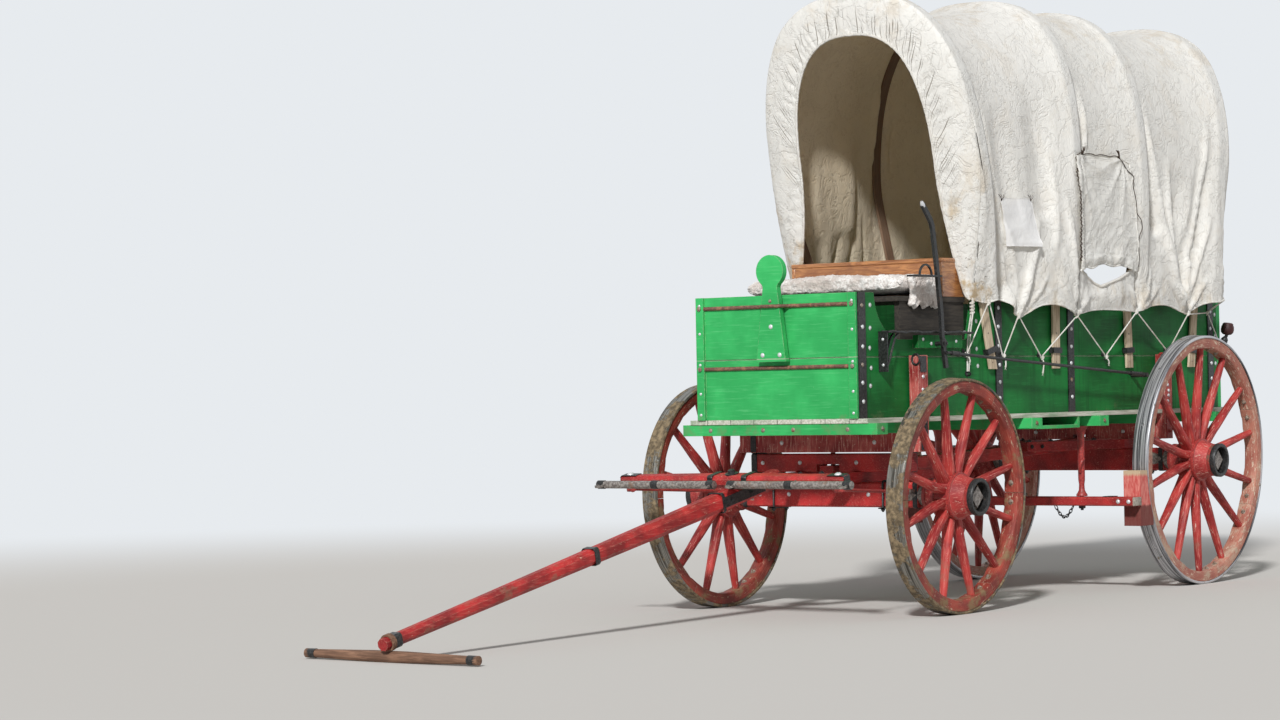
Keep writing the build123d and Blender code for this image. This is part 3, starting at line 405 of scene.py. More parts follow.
# Camera, light and floor
view = {"place": (13.348, 8.984, 1.109), "right": (-0.60705, 0.79443, -0.01919),
        "up": (-0.00327, 0.02165, 0.99976), "lens": 89.7}
right, up = Vector(view["right"]), Vector(view["up"])
back = right.cross(up)
camera = bpy.data.objects.new("camera", bpy.data.cameras.new("camera"))
camera.data.lens = view["lens"]
camera.data.clip_end = 200
camera.matrix_world = Matrix.Translation(view["place"]) @ Matrix((right, up, back)).transposed().to_4x4()
bpy.context.scene.collection.objects.link(camera)
bpy.context.scene.camera = camera

studio = {"sunFrom": (0.76, 0.345, 0.555), "sun": 3.3, "softness": 5, "ambient": 0.37,
          "backdrop": (0.80, 0.83, 0.86), "floor": (0.62, 0.60, 0.57), "fadeFrom": 5.0, "fadeTo": 13.0,
          "floorHalf": 60}
sun = bpy.data.objects.new("sun", bpy.data.lights.new("sun", "SUN"))
sun.data.energy = studio["sun"]
sun.data.angle = math.radians(studio["softness"])
sun.rotation_mode = "QUATERNION"
sun.rotation_quaternion = Vector(studio["sunFrom"]).to_track_quat("Z", "Y")
bpy.context.scene.collection.objects.link(sun)

world = bpy.data.worlds.new("studio")
bpy.context.scene.world = world
world.use_nodes = True
world.node_tree.nodes.clear()


def worldNode(kind, inputs):
    made = world.node_tree.nodes.new("ShaderNode" + kind)
    for key, value in inputs.items():
        if isinstance(value, bpy.types.NodeSocket):
            world.node_tree.links.new(value, made.inputs[key])
        else:
            made.inputs[key].default_value = value
    return made


rays = worldNode("LightPath", {})
seen = worldNode("Math", {0: rays.outputs["Is Camera Ray"], 1: rays.outputs["Is Glossy Ray"]})
lighting = worldNode("Background", {"Color": (0.97, 0.98, 1.0, 1), "Strength": studio["ambient"]})
backdrop = worldNode("Background", {"Color": (*studio["backdrop"], 1), "Strength": 1.0})
choice = worldNode("MixShader", {0: seen.outputs[0], 1: lighting.outputs[0], 2: backdrop.outputs[0]})
worldNode("OutputWorld", {0: choice.outputs[0]})

floorMesh = bpy.data.meshes.new("floor")
reach = studio["floorHalf"]
corners = [(-reach, -reach, 0), (reach, -reach, 0), (reach, reach, 0), (-reach, reach, 0)]
floorMesh.from_pydata(corners, [], [(0, 1, 2, 3)])
floor = bpy.data.objects.new("floor", floorMesh)
bpy.context.scene.collection.objects.link(floor)
ground = Shader("floorPaint")
spot = ground.node("TexCoord", output=3)
away = ground.node("VectorMath", {"operation": "LENGTH"}, {0: spot}, 1)
matt = ground.node("BsdfDiffuse", None, {0: (*studio["floor"], 1)})
glow = ground.node("Emission", None, {0: (*studio["backdrop"], 1), 1: 1.0})
edge = ground.ease(away, studio["fadeFrom"], studio["fadeTo"])
ground.node("OutputMaterial", None, {0: ground.node("MixShader", None, {0: edge, 1: matt, 2: glow})})
floorMesh.materials.append(ground.material)
bpy.context.scene.view_settings.view_transform = "Standard"
print("camera, light and floor set")


# Mesh tools
def around(count):
    # the angles of even steps round a turn
    return [math.tau * step / count for step in range(count)]


def alongPath(path, loop):
    # each place of a path, with its direction there and the length run so far
    count, run = len(path), 0.0
    for index, point in enumerate(path):
        before = path[index - 1] if loop or index else point
        after = path[(index + 1) % count] if loop or index < count - 1 else point
        run += (point - path[index - 1]).length if index else 0.0
        yield point, (after - before).normalized(), run


def gridFaces(rows, columns, cut=()):
    # the four-sided faces of a grid of points, without its cut cells
    return [(r * columns + c, r * columns + c + 1, (r + 1) * columns + c + 1, (r + 1) * columns + c)
            for r in range(rows - 1) for c in range(columns - 1) if (r, c) not in cut]


def beside(spot, side, steps):
    # places given as steps from a spot, mirrored for the right side
    return [spot + Vector((x, side * y, z)) for x, y, z in steps]


class Shape:
    # gathers the faces of one piece, and for each corner its place along its own part's grain
    def __init__(self):
        self.points, self.faces, self.finishes, self.grain = [], [], [], []

    def add(self, points, faces, place=None, finish=0, grain=None, free=(1, 1, 1)):
        # free says along which axes the grain's place is drawn at random, so that no two parts match
        start = len(self.points)
        place = place or Matrix()
        shift = Vector([dice.uniform(-9, 9) * share for share in free])
        self.points += [place @ Vector(point) for point in points]
        self.grain += [Vector(spot) + shift for spot in (grain or points)]
        self.faces += [[start + corner for corner in face] for face in faces]
        self.finishes += [finish] * len(faces)

    def loft(self, rings, place=None, finish=0, caps=True, loop=False, closed=True, grain=None,
             free=(1, 1, 1)):
        # skins a row of rings of points; loop joins the last ring to the first
        count = len(rings[0])
        points = [point for ring in rings for point in ring]
        faces = []
        for row in range(len(rings) if loop else len(rings) - 1):
            below, above = row * count, (row + 1) % len(rings) * count
            for step in range(count if closed else count - 1):
                after = (step + 1) % count
                faces.append((below + step, below + after, above + after, above + step))
        if caps and not loop:
            faces.append(tuple(range(count - 1, -1, -1)))
            faces.append(tuple(range(len(points) - count, len(points))))
        self.add(points, faces, place, finish, grain, free)

    def lathe(self, profile, place=None, finish=0, sides=24, loop=False, caps=True, wound=False):
        # turns (along, radius) points about the local X axis
        # wound has the grain run round it, mirrored to hide a joint
        turns = around(sides)
        rings = [[(along, radius * math.cos(turn), radius * math.sin(turn)) for turn in turns]
                 for along, radius in profile]
        grain = [(abs(turn - math.pi) * radius, along, radius) for along, radius in profile for turn in turns]
        self.loft(rings, place, finish, caps, loop, True, grain if wound else None)

    def board(self, size, place=None, finish=0, edge=0.003):
        # a plank with shaved edges, its grain along X
        length, width, depth = (value / 2 for value in size)
        rings = []
        for along, inset in ((-length, edge), (edge - length, 0), (length - edge, 0), (length, edge)):
            wide, deep = width - inset, depth - inset
            near, low = wide - edge, deep - edge
            rings.append([(along, y, z) for y, z in (
                (wide, -low), (wide, low), (near, deep), (-near, deep),
                (-wide, low), (-wide, -low), (-near, -deep), (near, -deep))])
        self.loft(rings, place, finish)

    def tube(self, path, radius, finish=0, sides=8, loop=False, radii=None):
        # a round bar or cord along a path
        across = None
        rings, grain = [], []
        places = alongPath([Vector(point) for point in path], loop)
        for index, (point, along, run) in enumerate(places):
            if across is None:
                across = along.orthogonal().normalized()
            across = (across - along * across.dot(along)).normalized()
            over = along.cross(across)
            wide = radii[index] if radii else radius
            turns = around(sides)
            rings.append([point + (across * math.cos(turn) + over * math.sin(turn)) * wide for turn in turns])
            grain += [(run, wide * math.cos(turn), wide * math.sin(turn)) for turn in turns]
        self.loft(rings, None, finish, not loop, loop, True, grain, (1, 0, 0))

    def bolt(self, place, radius, height, finish=0, kind="dome"):
        # a bolt's head or nut, standing up its local X axis
        if kind == "dome":
            self.lathe([(0, radius), (height * 0.45, radius * 0.92), (height * 0.85, radius * 0.6),
                        (height, radius * 0.2)], place, finish, 10)
        else:
            sides = 4 if kind == "square" else 6
            self.lathe([(0, radius), (height * 0.8, radius), (height, radius * 0.82)], place, finish, sides)
            self.lathe([(height, radius * 0.45), (height * 1.5, radius * 0.45),
                        (height * 1.6, radius * 0.38)], place, finish, 8)


def frameAt(origin, along, across=None):
    # a place whose local X points along a direction
    along = Vector(along).normalized()
    across = Vector(across) if across else along.orthogonal()
    across = (across - along * across.dot(along)).normalized()
    over = along.cross(across)
    return Matrix.Translation(origin) @ Matrix((along, across, over)).transposed().to_4x4()


def outFrom(x, y, z, side):
    # a place that points out of the left side, or its mirror on the right one
    return frameAt((x, side * y, z), (0, side, 0))


def flatBar(shape, path, wide, thick, normal, finish=0, loop=False):
    # a strap of flat iron along a path; normal gives the direction of its thickness at each point
    rings, grain = [], []
    w, t, e = wide / 2, thick / 2, min(wide, thick) * 0.18
    corners = ((w, -t + e), (w, t - e), (w - e, t), (-w + e, t), (-w, t - e), (-w, -t + e), (-w + e, -t),
               (w - e, -t))
    for point, along, run in alongPath([Vector(point) for point in path], loop):
        out = Vector(normal(point) if callable(normal) else normal)
        out = (out - along * out.dot(along)).normalized()
        over = along.cross(out)
        rings.append([point + over * a + out * b for a, b in corners])
        grain += [(run, a, b) for a, b in corners]
    shape.loft(rings, None, finish, not loop, loop, True, grain, (1, 0, 0))


def smoothPath(points, steps=8):
    # a curve through points
    points = [Vector(point) for point in points]
    made = []
    for index in range(len(points) - 1):
        a = points[max(0, index - 1)]
        b, c = points[index], points[index + 1]
        d = points[min(len(points) - 1, index + 2)]
        for step in range(steps):
            t = step / steps
            curve = (2 * a - 5 * b + 4 * c - d) * t * t
            made.append(0.5 * (2 * b + (c - a) * t + curve + (3 * b - a - 3 * c + d) * t ** 3))
    return made + [points[-1]]


def makePiece(name, shape, finishes, body, replaces=(), crease=38):
    mesh = bpy.data.meshes.new(name)
    mesh.from_pydata(shape.points, [], shape.faces)
    grain = mesh.attributes.new("grain", "FLOAT_VECTOR", "POINT")
    grain.data.foreach_set("vector", [value for spot in shape.grain for value in spot])
    for finish in finishes:
        mesh.materials.append(finish)
    mesh.polygons.foreach_set("material_index", shape.finishes)
    mesh.polygons.foreach_set("use_smooth", [True] * len(shape.faces))
    mesh.set_sharp_from_angle(angle=math.radians(crease))
    mesh.update()
    piece = bpy.data.objects.new(name, mesh)
    bpy.context.scene.collection.objects.link(piece)
    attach(piece, body)
    if replaces:
        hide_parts(*replaces)
    return piece


def blendAlong(table, at):
    # the value at a place in a table of (place, value) rows, eased between its rows
    for (low, first), (high, second) in zip(table, table[1:]):
        if at <= high:
            share = max(0.0, (at - low) / (high - low))
            share = share * share * (3 - 2 * share)
            return first + (second - first) * share
    return table[-1][1]


# Wheels
wheelLook = {"tyreMid": 0.729, "camber": 1.7, "dish": 0.034, "tyreHalf": 0.046, "tyreIron": 0.014,
             "seat": 0.0003, "felloeDepth": 0.056, "felloeHalf": 0.040, "hubSeat": 0.110,
             "spokeSides": 16, "steps": 11, "joint": 0.0016, "rivets": 12, "tyreSides": 144,
             "felloeSteps": 26}
wheels = {"front_left": (0.0, 1, 0.578, 12), "front_right": (0.0, -1, 0.578, 12),
          "rear_left": (-2.538, 1, 0.686, 14), "rear_right": (-2.538, -1, 0.686, 14)}


def wheelFrame(x, side, radius):
    # local X points outwards along the axle, Y forwards
    lean = math.radians(wheelLook["camber"])
    centre = (x, side * wheelLook["tyreMid"], radius * math.cos(lean))
    columns = ((0, side * math.cos(lean), -math.sin(lean)), (1, 0, 0),
               (0, -math.sin(lean), -side * math.cos(lean)))
    return Matrix.Translation(centre) @ Matrix(columns).transposed().to_4x4()


def makeTyre(name, place, radius):
    half, iron = wheelLook["tyreHalf"], wheelLook["tyreIron"]
    cone = half * math.tan(math.radians(wheelLook["camber"]))
    inner = radius - iron
    # worn round at its corners, a little hollow across the tread
    profile = [(-half + 0.002, inner), (-half, inner + 0.003), (-half, radius + cone - 0.005),
               (-half + 0.0015, radius + cone - 0.0015), (-half + 0.005, radius + cone),
               (-0.02, radius + cone * 0.4 - 0.0006), (0.02, radius - cone * 0.4 - 0.0006),
               (half - 0.005, radius - cone), (half - 0.0015, radius - cone - 0.0015),
               (half, radius - cone - 0.005), (half, inner + 0.003), (half - 0.002, inner)]
    shape = Shape()
    shape.lathe(profile, place, 0, wheelLook["tyreSides"], True, True, True)
    for step in range(wheelLook["rivets"]):
        turn = math.tau * (step + 0.42) / wheelLook["rivets"]
        radial = place.to_3x3() @ Vector((0, math.cos(turn), math.sin(turn)))
        centre = place.translation + radial * (radius - 0.0012)
        shape.lathe([(-0.002, 0.0088), (0.0006, 0.0088), (0.001, 0.0078), (0.0011, 0.002)],
                    frameAt(centre, radial), 0, 10)
    finish = rearTyre if name.startswith("rear") else frontTyre
    makePiece(name + "_tyreDressed", shape, [finish], name + "_wheel", [name + "_tyre"], 30)


def felloeRing(turn, edge, inner, outer):
    half = wheelLook["felloeHalf"]
    section = ((-half + 0.002, outer), (-half, outer - 0.002), (-half, inner + edge),
               (-half + edge * 0.35, inner + edge * 0.35), (-half + edge, inner), (half - edge, inner),
               (half - edge * 0.35, inner + edge * 0.35), (half, inner + edge),
               (half, outer - 0.002), (half - 0.002, outer))
    middle = (inner + outer) / 2
    ring = [(out, radius * math.cos(turn), radius * math.sin(turn)) for out, radius in section]
    grain = [(turn * middle, out, radius) for out, radius in section]
    return ring, grain


def makeFelloes(name, place, radius, count):
    outer = radius - wheelLook["tyreIron"] - wheelLook["seat"]
    inner = outer - wheelLook["felloeDepth"]
    shape = Shape()
    span = 2 * math.tau / count
    gap = wheelLook["joint"] / 2 / outer
    steps = wheelLook["felloeSteps"]
    for segment in range(count // 2):
        rings, grain = [], []
        for step in range(steps + 1):
            share = step / steps
            turn = segment * span + gap + (span - 2 * gap) * share
            # shaved between the spokes, full width at the spokes and joints
            fromStop = min(abs(share - stop) for stop in (0, 0.25, 0.75, 1)) * span * inner
            edge = blendAlong(((0.0, 0.0035), (0.035, 0.0035), (0.075, 0.0125)), fromStop)
            ring, spots = felloeRing(turn, edge, inner, outer)
            rings.append(ring)
            grain += spots
        shape.loft(rings, place, 0, True, False, True, grain)
        for share in (0.09, 0.91):
            turn = segment * span + span * share
            radial = place.to_3x3() @ Vector((0, math.cos(turn), math.sin(turn)))
            centre = place.translation + radial * (inner + 0.0005)
            across = place.to_3x3() @ Vector((1, 0, 0))
            shape.lathe([(0, 0.0135), (0.002, 0.0135), (0.0025, 0.011)], frameAt(centre, -radial), 1, 14)
            shape.bolt(frameAt(centre - radial * 0.0022, -radial, across), 0.0115, 0.008, 1, "square")
    finish = rearFelloe if name.startswith("rear") else frontFelloe
    makePiece(name + "_felloesDressed", shape, [finish, rustyBolt], name + "_wheel",
              [name + "_felloes"])


def makeSpokes(name, place, radius, count):
    inner = wheelLook["hubSeat"] + wheelLook["seat"]
    outer = radius - wheelLook["tyreIron"] - wheelLook["felloeDepth"] - 2 * wheelLook["seat"]
    slope = wheelLook["dish"] / (outer - inner)
    # width across, depth along the axle and squareness, from the hub out
    widths = ((0, 0.036), (0.05, 0.036), (0.3, 0.044), (0.75, 0.038), (0.93, 0.036), (1, 0.033))
    depths = ((0, 0.062), (0.1, 0.060), (0.3, 0.056), (0.75, 0.044), (0.93, 0.040), (1, 0.036))
    squares = ((0, 7), (0.1, 4.5), (0.24, 2.3), (1, 2.1))
    shape = Shape()
    for index in range(count):
        turn = math.tau * (index + 0.5) / count
        radial = Vector((0, math.cos(turn), math.sin(turn)))
        across = Vector((0, -math.sin(turn), math.cos(turn)))
        bow = dice.uniform(-0.0012, 0.0012)
        rings, grain = [], []
        for step in range(wheelLook["steps"] + 1):
            share = (step / wheelLook["steps"]) ** 1.25
            reach = inner + (outer - inner) * share
            wide, deep = blendAlong(widths, share) / 2, blendAlong(depths, share) / 2
            power = 2 / blendAlong(squares, share)
            middle = radial * reach + Vector((1, 0, 0)) * ((reach - outer) * slope) \
                + across * bow * math.sin(share * math.pi)
            ring = []
            for corner in range(wheelLook["spokeSides"]):
                angle = math.tau * (corner + 0.5) / wheelLook["spokeSides"]
                c, s = math.cos(angle), math.sin(angle)
                y = wide * math.copysign(abs(c) ** power, c)
                z = deep * math.copysign(abs(s) ** power, s)
                ring.append(middle + across * y + Vector((1, 0, 0)) * z)
                grain.append((reach, y, z))
            rings.append(ring)
        shape.loft(rings, place, 0, True, False, True, grain)
    makePiece(name + "_spokesDressed", shape, [spokePaint], name + "_wheel", [name + "_spokes"],
              50)


hubLook = {
    # turned wood, from its back to the point band, as (outwards, radius)
    "wood": ((-0.158, 0.036), (-0.158, 0.076), (-0.142, 0.0785), (-0.126, 0.084), (-0.112, 0.092),
             (-0.098, 0.104), (-0.087, 0.110), (-0.070, 0.1105), (-0.034, 0.111), (0.002, 0.1105),
             (0.019, 0.1095), (0.022, 0.108), (0.035, 0.1035), (0.052, 0.0975), (0.069, 0.0915),
             (0.084, 0.0865), (0.088, 0.083), (0.088, 0.074)),
    # shrunk bands: their two ends, inner and outer radius
    "bands": ((-0.160, -0.141, 0.079, 0.0835), (-0.088, -0.070, 0.108, 0.117), (0.002, 0.020, 0.108, 0.117),
              (0.085, 0.106, 0.076, 0.0885)),
    # the open iron ring round the axle's nut
    "ring": ((0.104, 0.074), (0.104, 0.0885), (0.1075, 0.0915), (0.130, 0.0925), (0.134, 0.090),
             (0.134, 0.077), (0.130, 0.0725), (0.0784, 0.072), (0.0784, 0.0352), (0.076, 0.0352),
             (0.076, 0.0745)),
    # mud and grease packed round the nut
    "mud": ((0.0785, 0.0715), (0.0865, 0.068), (0.0885, 0.063), (0.085, 0.059), (0.0785, 0.0568)),
    "sides": 60, "mudSides": 48, "edge": 0.0025, "lump": 0.005,
}


def makeHub(name, place):
    look = hubLook
    sides, edge = look["sides"], look["edge"]
    shape = Shape()
    shape.lathe(look["wood"], place, 0, sides, False, False)
    for low, high, inner, outer in look["bands"]:
        shape.lathe([(low, inner), (low, outer - edge), (low + edge, outer), (high - edge, outer),
                     (high, outer - edge), (high, inner)], place, 1, sides, True)
    shape.lathe(look["ring"], place, 2, sides, True)
    rings = []
    for along, radius in look["mud"]:
        ring = []
        for turn in around(look["mudSides"]):
            spot = Vector((math.cos(turn) * 3, math.sin(turn) * 3, radius * 90 + len(name)))
            lump = noise.noise(spot) * look["lump"]
            ring.append((along + max(0, lump) + 0.001, radius * math.cos(turn), radius * math.sin(turn)))
        rings.append(ring)
    shape.loft(rings, place, 3, False)
    makePiece(name + "_hubDressed", shape, [hubWood, redIron, blackIron, driedMud], name + "_wheel",
              [name + "_hub"])


for name, (x, side, radius, count) in wheels.items():
    place = wheelFrame(x, side, radius)
    makeTyre(name, place, radius)
    makeFelloes(name, place, radius, count)
    makeSpokes(name, place, radius, count)
    makeHub(name, place)
print("wheels built")

# Cover: one sheet over the bows, drawn in round both mouths and laced down at its hem
coverLook = {
    "foot": 1.200, "shoulder": 2.210, "squareness": 2.6, "seat": 0.004, "band": 0.040,
    # station at the foot, lean, crown of the bow
    "bows": ((-0.748, 14.3, 3.124), (-1.390, -1.2, 3.180), (-2.190, 2.3, 3.173), (-2.910, -8.2, 3.168)),
    "half": 0.6398,
    # station, lean, ridge, half width at the shoulder and at the hem
    "frontMouth": (-0.582, 11.9, 2.917, 0.412, 0.496), "rearMouth": (-3.118, -7.4, 2.935, 0.422, 0.526),
    # how far the cloth hangs in between two bows: at the crown, the shoulder and the hem
    "sags": ((0.105, 0.078, 0.036), (0.052, 0.052, 0.026), (0.078, 0.066, 0.032)),
    "columns": 330, "bayRows": 58, "capRows": 34, "bandRows": 6, "legShare": 0.36, "rightBelly": 0.11,
    # the hem's height above the bow's foot, where its station is read
    "hemRise": 0.33, "thickness": 0.0062,
    # heights: pleats at the mouths, fans over the lacings, hanging folds, waves and creases
    "pleat": 0.011, "fan": 0.013, "fanReach": 0.74, "hang": 0.013, "wave": 0.008, "crease": 0.0042,
    "fineCrease": 0.0020, "foldScale": 1.8, "rightFolds": 0.8,
    # how far the cloth may sink on a bow
    "sink": 0.0015,
    # the pouch under the window: height, place along and up, length and breadth
    "pouch": (0.024, -1.78, 1.585, 0.17, 0.05),
    # the window in the left side: its cloth hangs as a flap, and the opening shows below it
    "window": {"front": -1.50, "rear": -2.03, "sill": 1.724, "top": 1.800, "dip": 0.088, "lowest": 0.41},
    # lapped seams on the left side, at the front bow and below the flap: path, width, and the radius of the
    # dark thread along the lap's edge, which also paints the shade there
    "seams": ((((-0.386, 0, 2.448), (-0.433, 0, 2.174), (-0.477, 0, 1.925), (-0.518, 0, 1.640)),
               0.020, 0.0034),
              (((-1.434, 0, 1.712), (-1.437, 0, 1.600), (-1.432, 0, 1.492)), 0.014, 0.0020)),
}
# the hem from front to rear: place along the wagon, height, half width, and whether it is laced down there
hemTable = ((-0.508, 1.552, 0.496, False), (-0.645, 1.535, 0.520, True), (-0.790, 1.560, 0.575, False),
            (-0.925, 1.447, 0.560, True), (-1.170, 1.532, 0.618, False), (-1.430, 1.472, 0.592, True),
            (-1.780, 1.510, 0.600, False), (-2.140, 1.502, 0.560, True), (-2.420, 1.542, 0.606, False),
            (-2.700, 1.486, 0.585, True), (-2.930, 1.560, 0.630, False), (-3.170, 1.598, 0.600, True))
# folds of the left side: points (along, up), width, height out (negative for a valley), sharpness
foldTable = (
    (((-0.43, 2.62), (-0.50, 2.36), (-0.60, 2.10), (-0.73, 1.78), (-0.85, 1.50)), 0.052, -0.064, 2.0),
    (((-0.50, 2.50), (-0.59, 2.25), (-0.70, 1.99), (-0.84, 1.64), (-0.91, 1.47)), 0.026, 0.028, 1.0),
    (((-0.70, 2.56), (-0.78, 2.20), (-0.85, 1.90)), 0.060, -0.014, 2.0),
    (((-1.08, 2.70), (-1.13, 2.30), (-1.15, 1.95)), 0.070, -0.018, 2.0),
    (((-1.20, 2.40), (-1.24, 2.10), (-1.22, 1.80)), 0.030, 0.012, 1.2),
    (((-1.44, 2.83), (-1.44, 2.68), (-1.45, 2.55), (-1.51, 2.36)), 0.036, -0.030, 2.0),
    (((-1.49, 2.80), (-1.48, 2.60), (-1.475, 2.38)), 0.022, 0.016, 1.0),
    (((-1.53, 2.74), (-1.52, 2.36)), 0.030, -0.016, 1.6),
    (((-1.60, 2.62), (-1.58, 2.36)), 0.018, 0.010, 1.0),
    (((-2.21, 2.72), (-2.254, 2.35), (-2.31, 2.12), (-2.40, 1.90)), 0.040, -0.036, 2.0),
    (((-2.27, 2.66), (-2.33, 2.36), (-2.42, 2.05), (-2.56, 1.70), (-2.68, 1.50)), 0.026, 0.018, 1.0),
    (((-2.544, 2.40), (-2.50, 2.10), (-2.52, 1.90), (-2.66, 1.50)), 0.026, 0.018, 1.0),
    (((-2.64, 2.30), (-2.62, 2.00), (-2.67, 1.60)), 0.050, -0.020, 2.0),
    (((-2.979, 2.62), (-2.86, 2.21), (-2.74, 1.84), (-2.70, 1.50)), 0.026, 0.020, 1.0),
    (((-2.92, 2.40), (-2.82, 2.06), (-2.72, 1.76)), 0.040, -0.018, 2.0),
    (((-2.95, 2.08), (-2.83, 1.84), (-2.74, 1.62)), 0.020, 0.012, 1.0),
    (((-0.69, 1.84), (-0.80, 1.62), (-0.90, 1.47)), 0.018, 0.012, 1.0),
    (((-1.02, 1.80), (-0.97, 1.62), (-0.93, 1.46)), 0.016, 0.014, 1.0),
    (((-1.10, 2.02), (-1.04, 1.78), (-0.95, 1.50)), 0.022, 0.014, 1.0),
    (((-1.18, 1.72), (-1.08, 1.60), (-0.96, 1.48)), 0.014, 0.010, 1.0),
    (((-1.30, 2.16), (-1.36, 1.85), (-1.43, 1.49)), 0.020, 0.012, 1.0),
    (((-1.22, 1.68), (-1.32, 1.58), (-1.42, 1.48)), 0.014, 0.012, 1.0),
    (((-1.62, 1.60), (-1.52, 1.53), (-1.45, 1.48)), 0.014, 0.012, 1.0),
    (((-1.46, 1.72), (-1.45, 1.60), (-1.43, 1.49)), 0.016, -0.014, 1.6),
    (((-2.02, 1.66), (-2.10, 1.57), (-2.14, 1.51)), 0.014, 0.012, 1.0),
    (((-2.10, 1.80), (-2.12, 1.66), (-2.14, 1.51)), 0.016, -0.014, 1.6),
    (((-2.30, 1.76), (-2.22, 1.62), (-2.15, 1.51)), 0.018, 0.014, 1.0),
    (((-2.40, 1.66), (-2.28, 1.57), (-2.16, 1.51)), 0.014, 0.010, 1.0),
    (((-2.50, 1.70), (-2.60, 1.60), (-2.69, 1.50)), 0.016, 0.012, 1.0),
    (((-2.90, 1.72), (-2.80, 1.60), (-2.71, 1.50)), 0.016, 0.012, 1.0),
    (((-3.10, 2.40), (-3.12, 2.00), (-3.15, 1.66)), 0.050, -0.012, 2.0),
)


def mixRows(first, second, share):
    return tuple(a + (b - a) * share for a, b in zip(first, second))


def hemAt(x):
    # height and half width of the hem: it hangs in arcs between its lacings
    rows = sorted(hemTable)
    for (low, lowZ, lowHalf, lowTied), (high, highZ, highHalf, highTied) in zip(rows, rows[1:]):
        if x <= high or high == rows[-1][0]:
            share = min(1.0, max(0.0, (x - low) / (high - low)))
            # leaves a lacing steeply and an arc's top level
            bend = share
            if lowTied and not highTied:
                bend = math.sin(share * math.pi / 2) ** 0.85
            elif highTied and not lowTied:
                bend = 1 - math.sin((1 - share) * math.pi / 2) ** 0.85
            return lowZ + (highZ - lowZ) * bend, lowHalf + (highHalf - lowHalf) * bend
    return rows[-1][1], rows[-1][2]


def archPoint(look, half, ridge, v):
    # across and up on a section; v runs from -1 at the right hem to 1 at the left one, with 0 at the crown
    bend = abs(v) / (1 - look["legShare"])
    angle = min(1.0, bend) * math.pi / 2
    power = 2 / look["squareness"]
    across = half * max(0.0, math.sin(angle)) ** power
    up = look["shoulder"] + (ridge - look["shoulder"]) * max(0.0, math.cos(angle)) ** power
    return across, up


def coverPoint(look, station, lean, ridge, half, hemHalf, v):
    across, up = archPoint(look, half, ridge, v)
    slope = math.tan(math.radians(lean))
    if abs(v) > 1 - look["legShare"]:
        share = (abs(v) - 1 + look["legShare"]) / look["legShare"]
        hemX = station + slope * look["hemRise"]
        hemZ, tableHalf = hemAt(hemX)
        low = hemHalf if hemHalf is not None else tableHalf
        if v < 0:
            belly = look["rightBelly"]
            low += blendAlong(((-1.5, 0.0), (-0.95, belly), (-0.62, belly), (-0.5, 0.05)), hemX)
        up = look["shoulder"] + (hemZ - look["shoulder"]) * share
        # falls straight from the shoulder, then draws in to its lacings
        across = half + (low - half) * share ** 1.6
    return Vector((station + slope * (up - look["foot"]), math.copysign(across, v), up))


def coverRows(look):
    # every row of the sheet: the two sections it lies between, its shares of place and shape, and its sag
    rows = []
    bows = look["bows"]
    mouth = look["frontMouth"]
    first = (bows[0][0] + look["band"], bows[0][1], bows[0][2] + look["seat"], look["half"], None)
    for step in range(look["capRows"]):
        turn = (1 - step / look["capRows"]) * math.pi / 2
        rows.append((first, mouth, math.sin(turn), 1 - math.cos(turn), None, 0.0, "front",
                     turn / (math.pi / 2)))
    for number, (station, lean, crown) in enumerate(bows):
        here = (station, lean, crown + look["seat"], look["half"], None)
        for step in range(look["bandRows"] + 1):
            shift = look["band"] * (1 - 2 * step / look["bandRows"])
            moved = (station + shift, *here[1:])
            rows.append((moved, moved, 0.0, 0.0, None, 0.0, "bow", number))
        if number < len(bows) - 1:
            after = bows[number + 1]
            start = (station - look["band"], lean, crown + look["seat"], look["half"], None)
            end = (after[0] + look["band"], after[1], after[2] + look["seat"], look["half"], None)
            for step in range(1, look["bayRows"]):
                share = step / look["bayRows"]
                rows.append((start, end, share, share, look["sags"][number], share, "bay", number))
    last = bows[-1]
    start = (last[0] - look["band"], last[1], last[2] + look["seat"], look["half"], None)
    for step in range(1, look["capRows"] + 1):
        turn = step / look["capRows"] * math.pi / 2
        rows.append((start, look["rearMouth"], math.sin(turn), 1 - math.cos(turn), None, 0.0, "rear",
                     turn / (math.pi / 2)))
    return rows


def sectionOf(first, second, placeShare, shapeShare):
    place = mixRows(first[:2], second[:2], placeShare)
    shape = mixRows(first[2:4], second[2:4], shapeShare)
    hem = second[4]
    return (*place, *shape, hem, shapeShare)


def baseSheet(look):
    rows = coverRows(look)
    across = [2 * step / look["columns"] - 1 for step in range(look["columns"] + 1)]
    grid = np.zeros((len(rows), len(across), 3))
    for r, (first, second, placeShare, shapeShare, sags, share, *_) in enumerate(rows):
        station, lean, ridge, half, hem, drawn = sectionOf(first, second, placeShare, shapeShare)
        for c, v in enumerate(across):
            hemHalf = None
            if hem is not None:
                tableHalf = hemAt(station + math.tan(math.radians(lean)) * look["hemRise"])[1]
                hemHalf = tableHalf + (hem - tableHalf) * drawn
            point = coverPoint(look, station, lean, ridge, half, hemHalf, v)
            if sags:
                leg = max(0.0, (abs(v) - 1 + look["legShare"]) / look["legShare"])
                arc = min(1.0, abs(v) / (1 - look["legShare"]))
                depth = sags[0] + (sags[1] - sags[0]) * arc
                depth += (sags[2] - depth) * leg
                # hangs like a slack hammock, down the sides steepest behind the bow in front
                skewed = share ** (1 - 0.34 * arc)
                hang = (4 * skewed * (1 - skewed)) ** 0.72
                angle = arc * math.pi / 2
                inwards = Vector((0, -math.copysign(math.sin(angle), v), -math.cos(angle)))
                point += inwards * depth * hang
            grid[r, c] = point
    return rows, across, grid


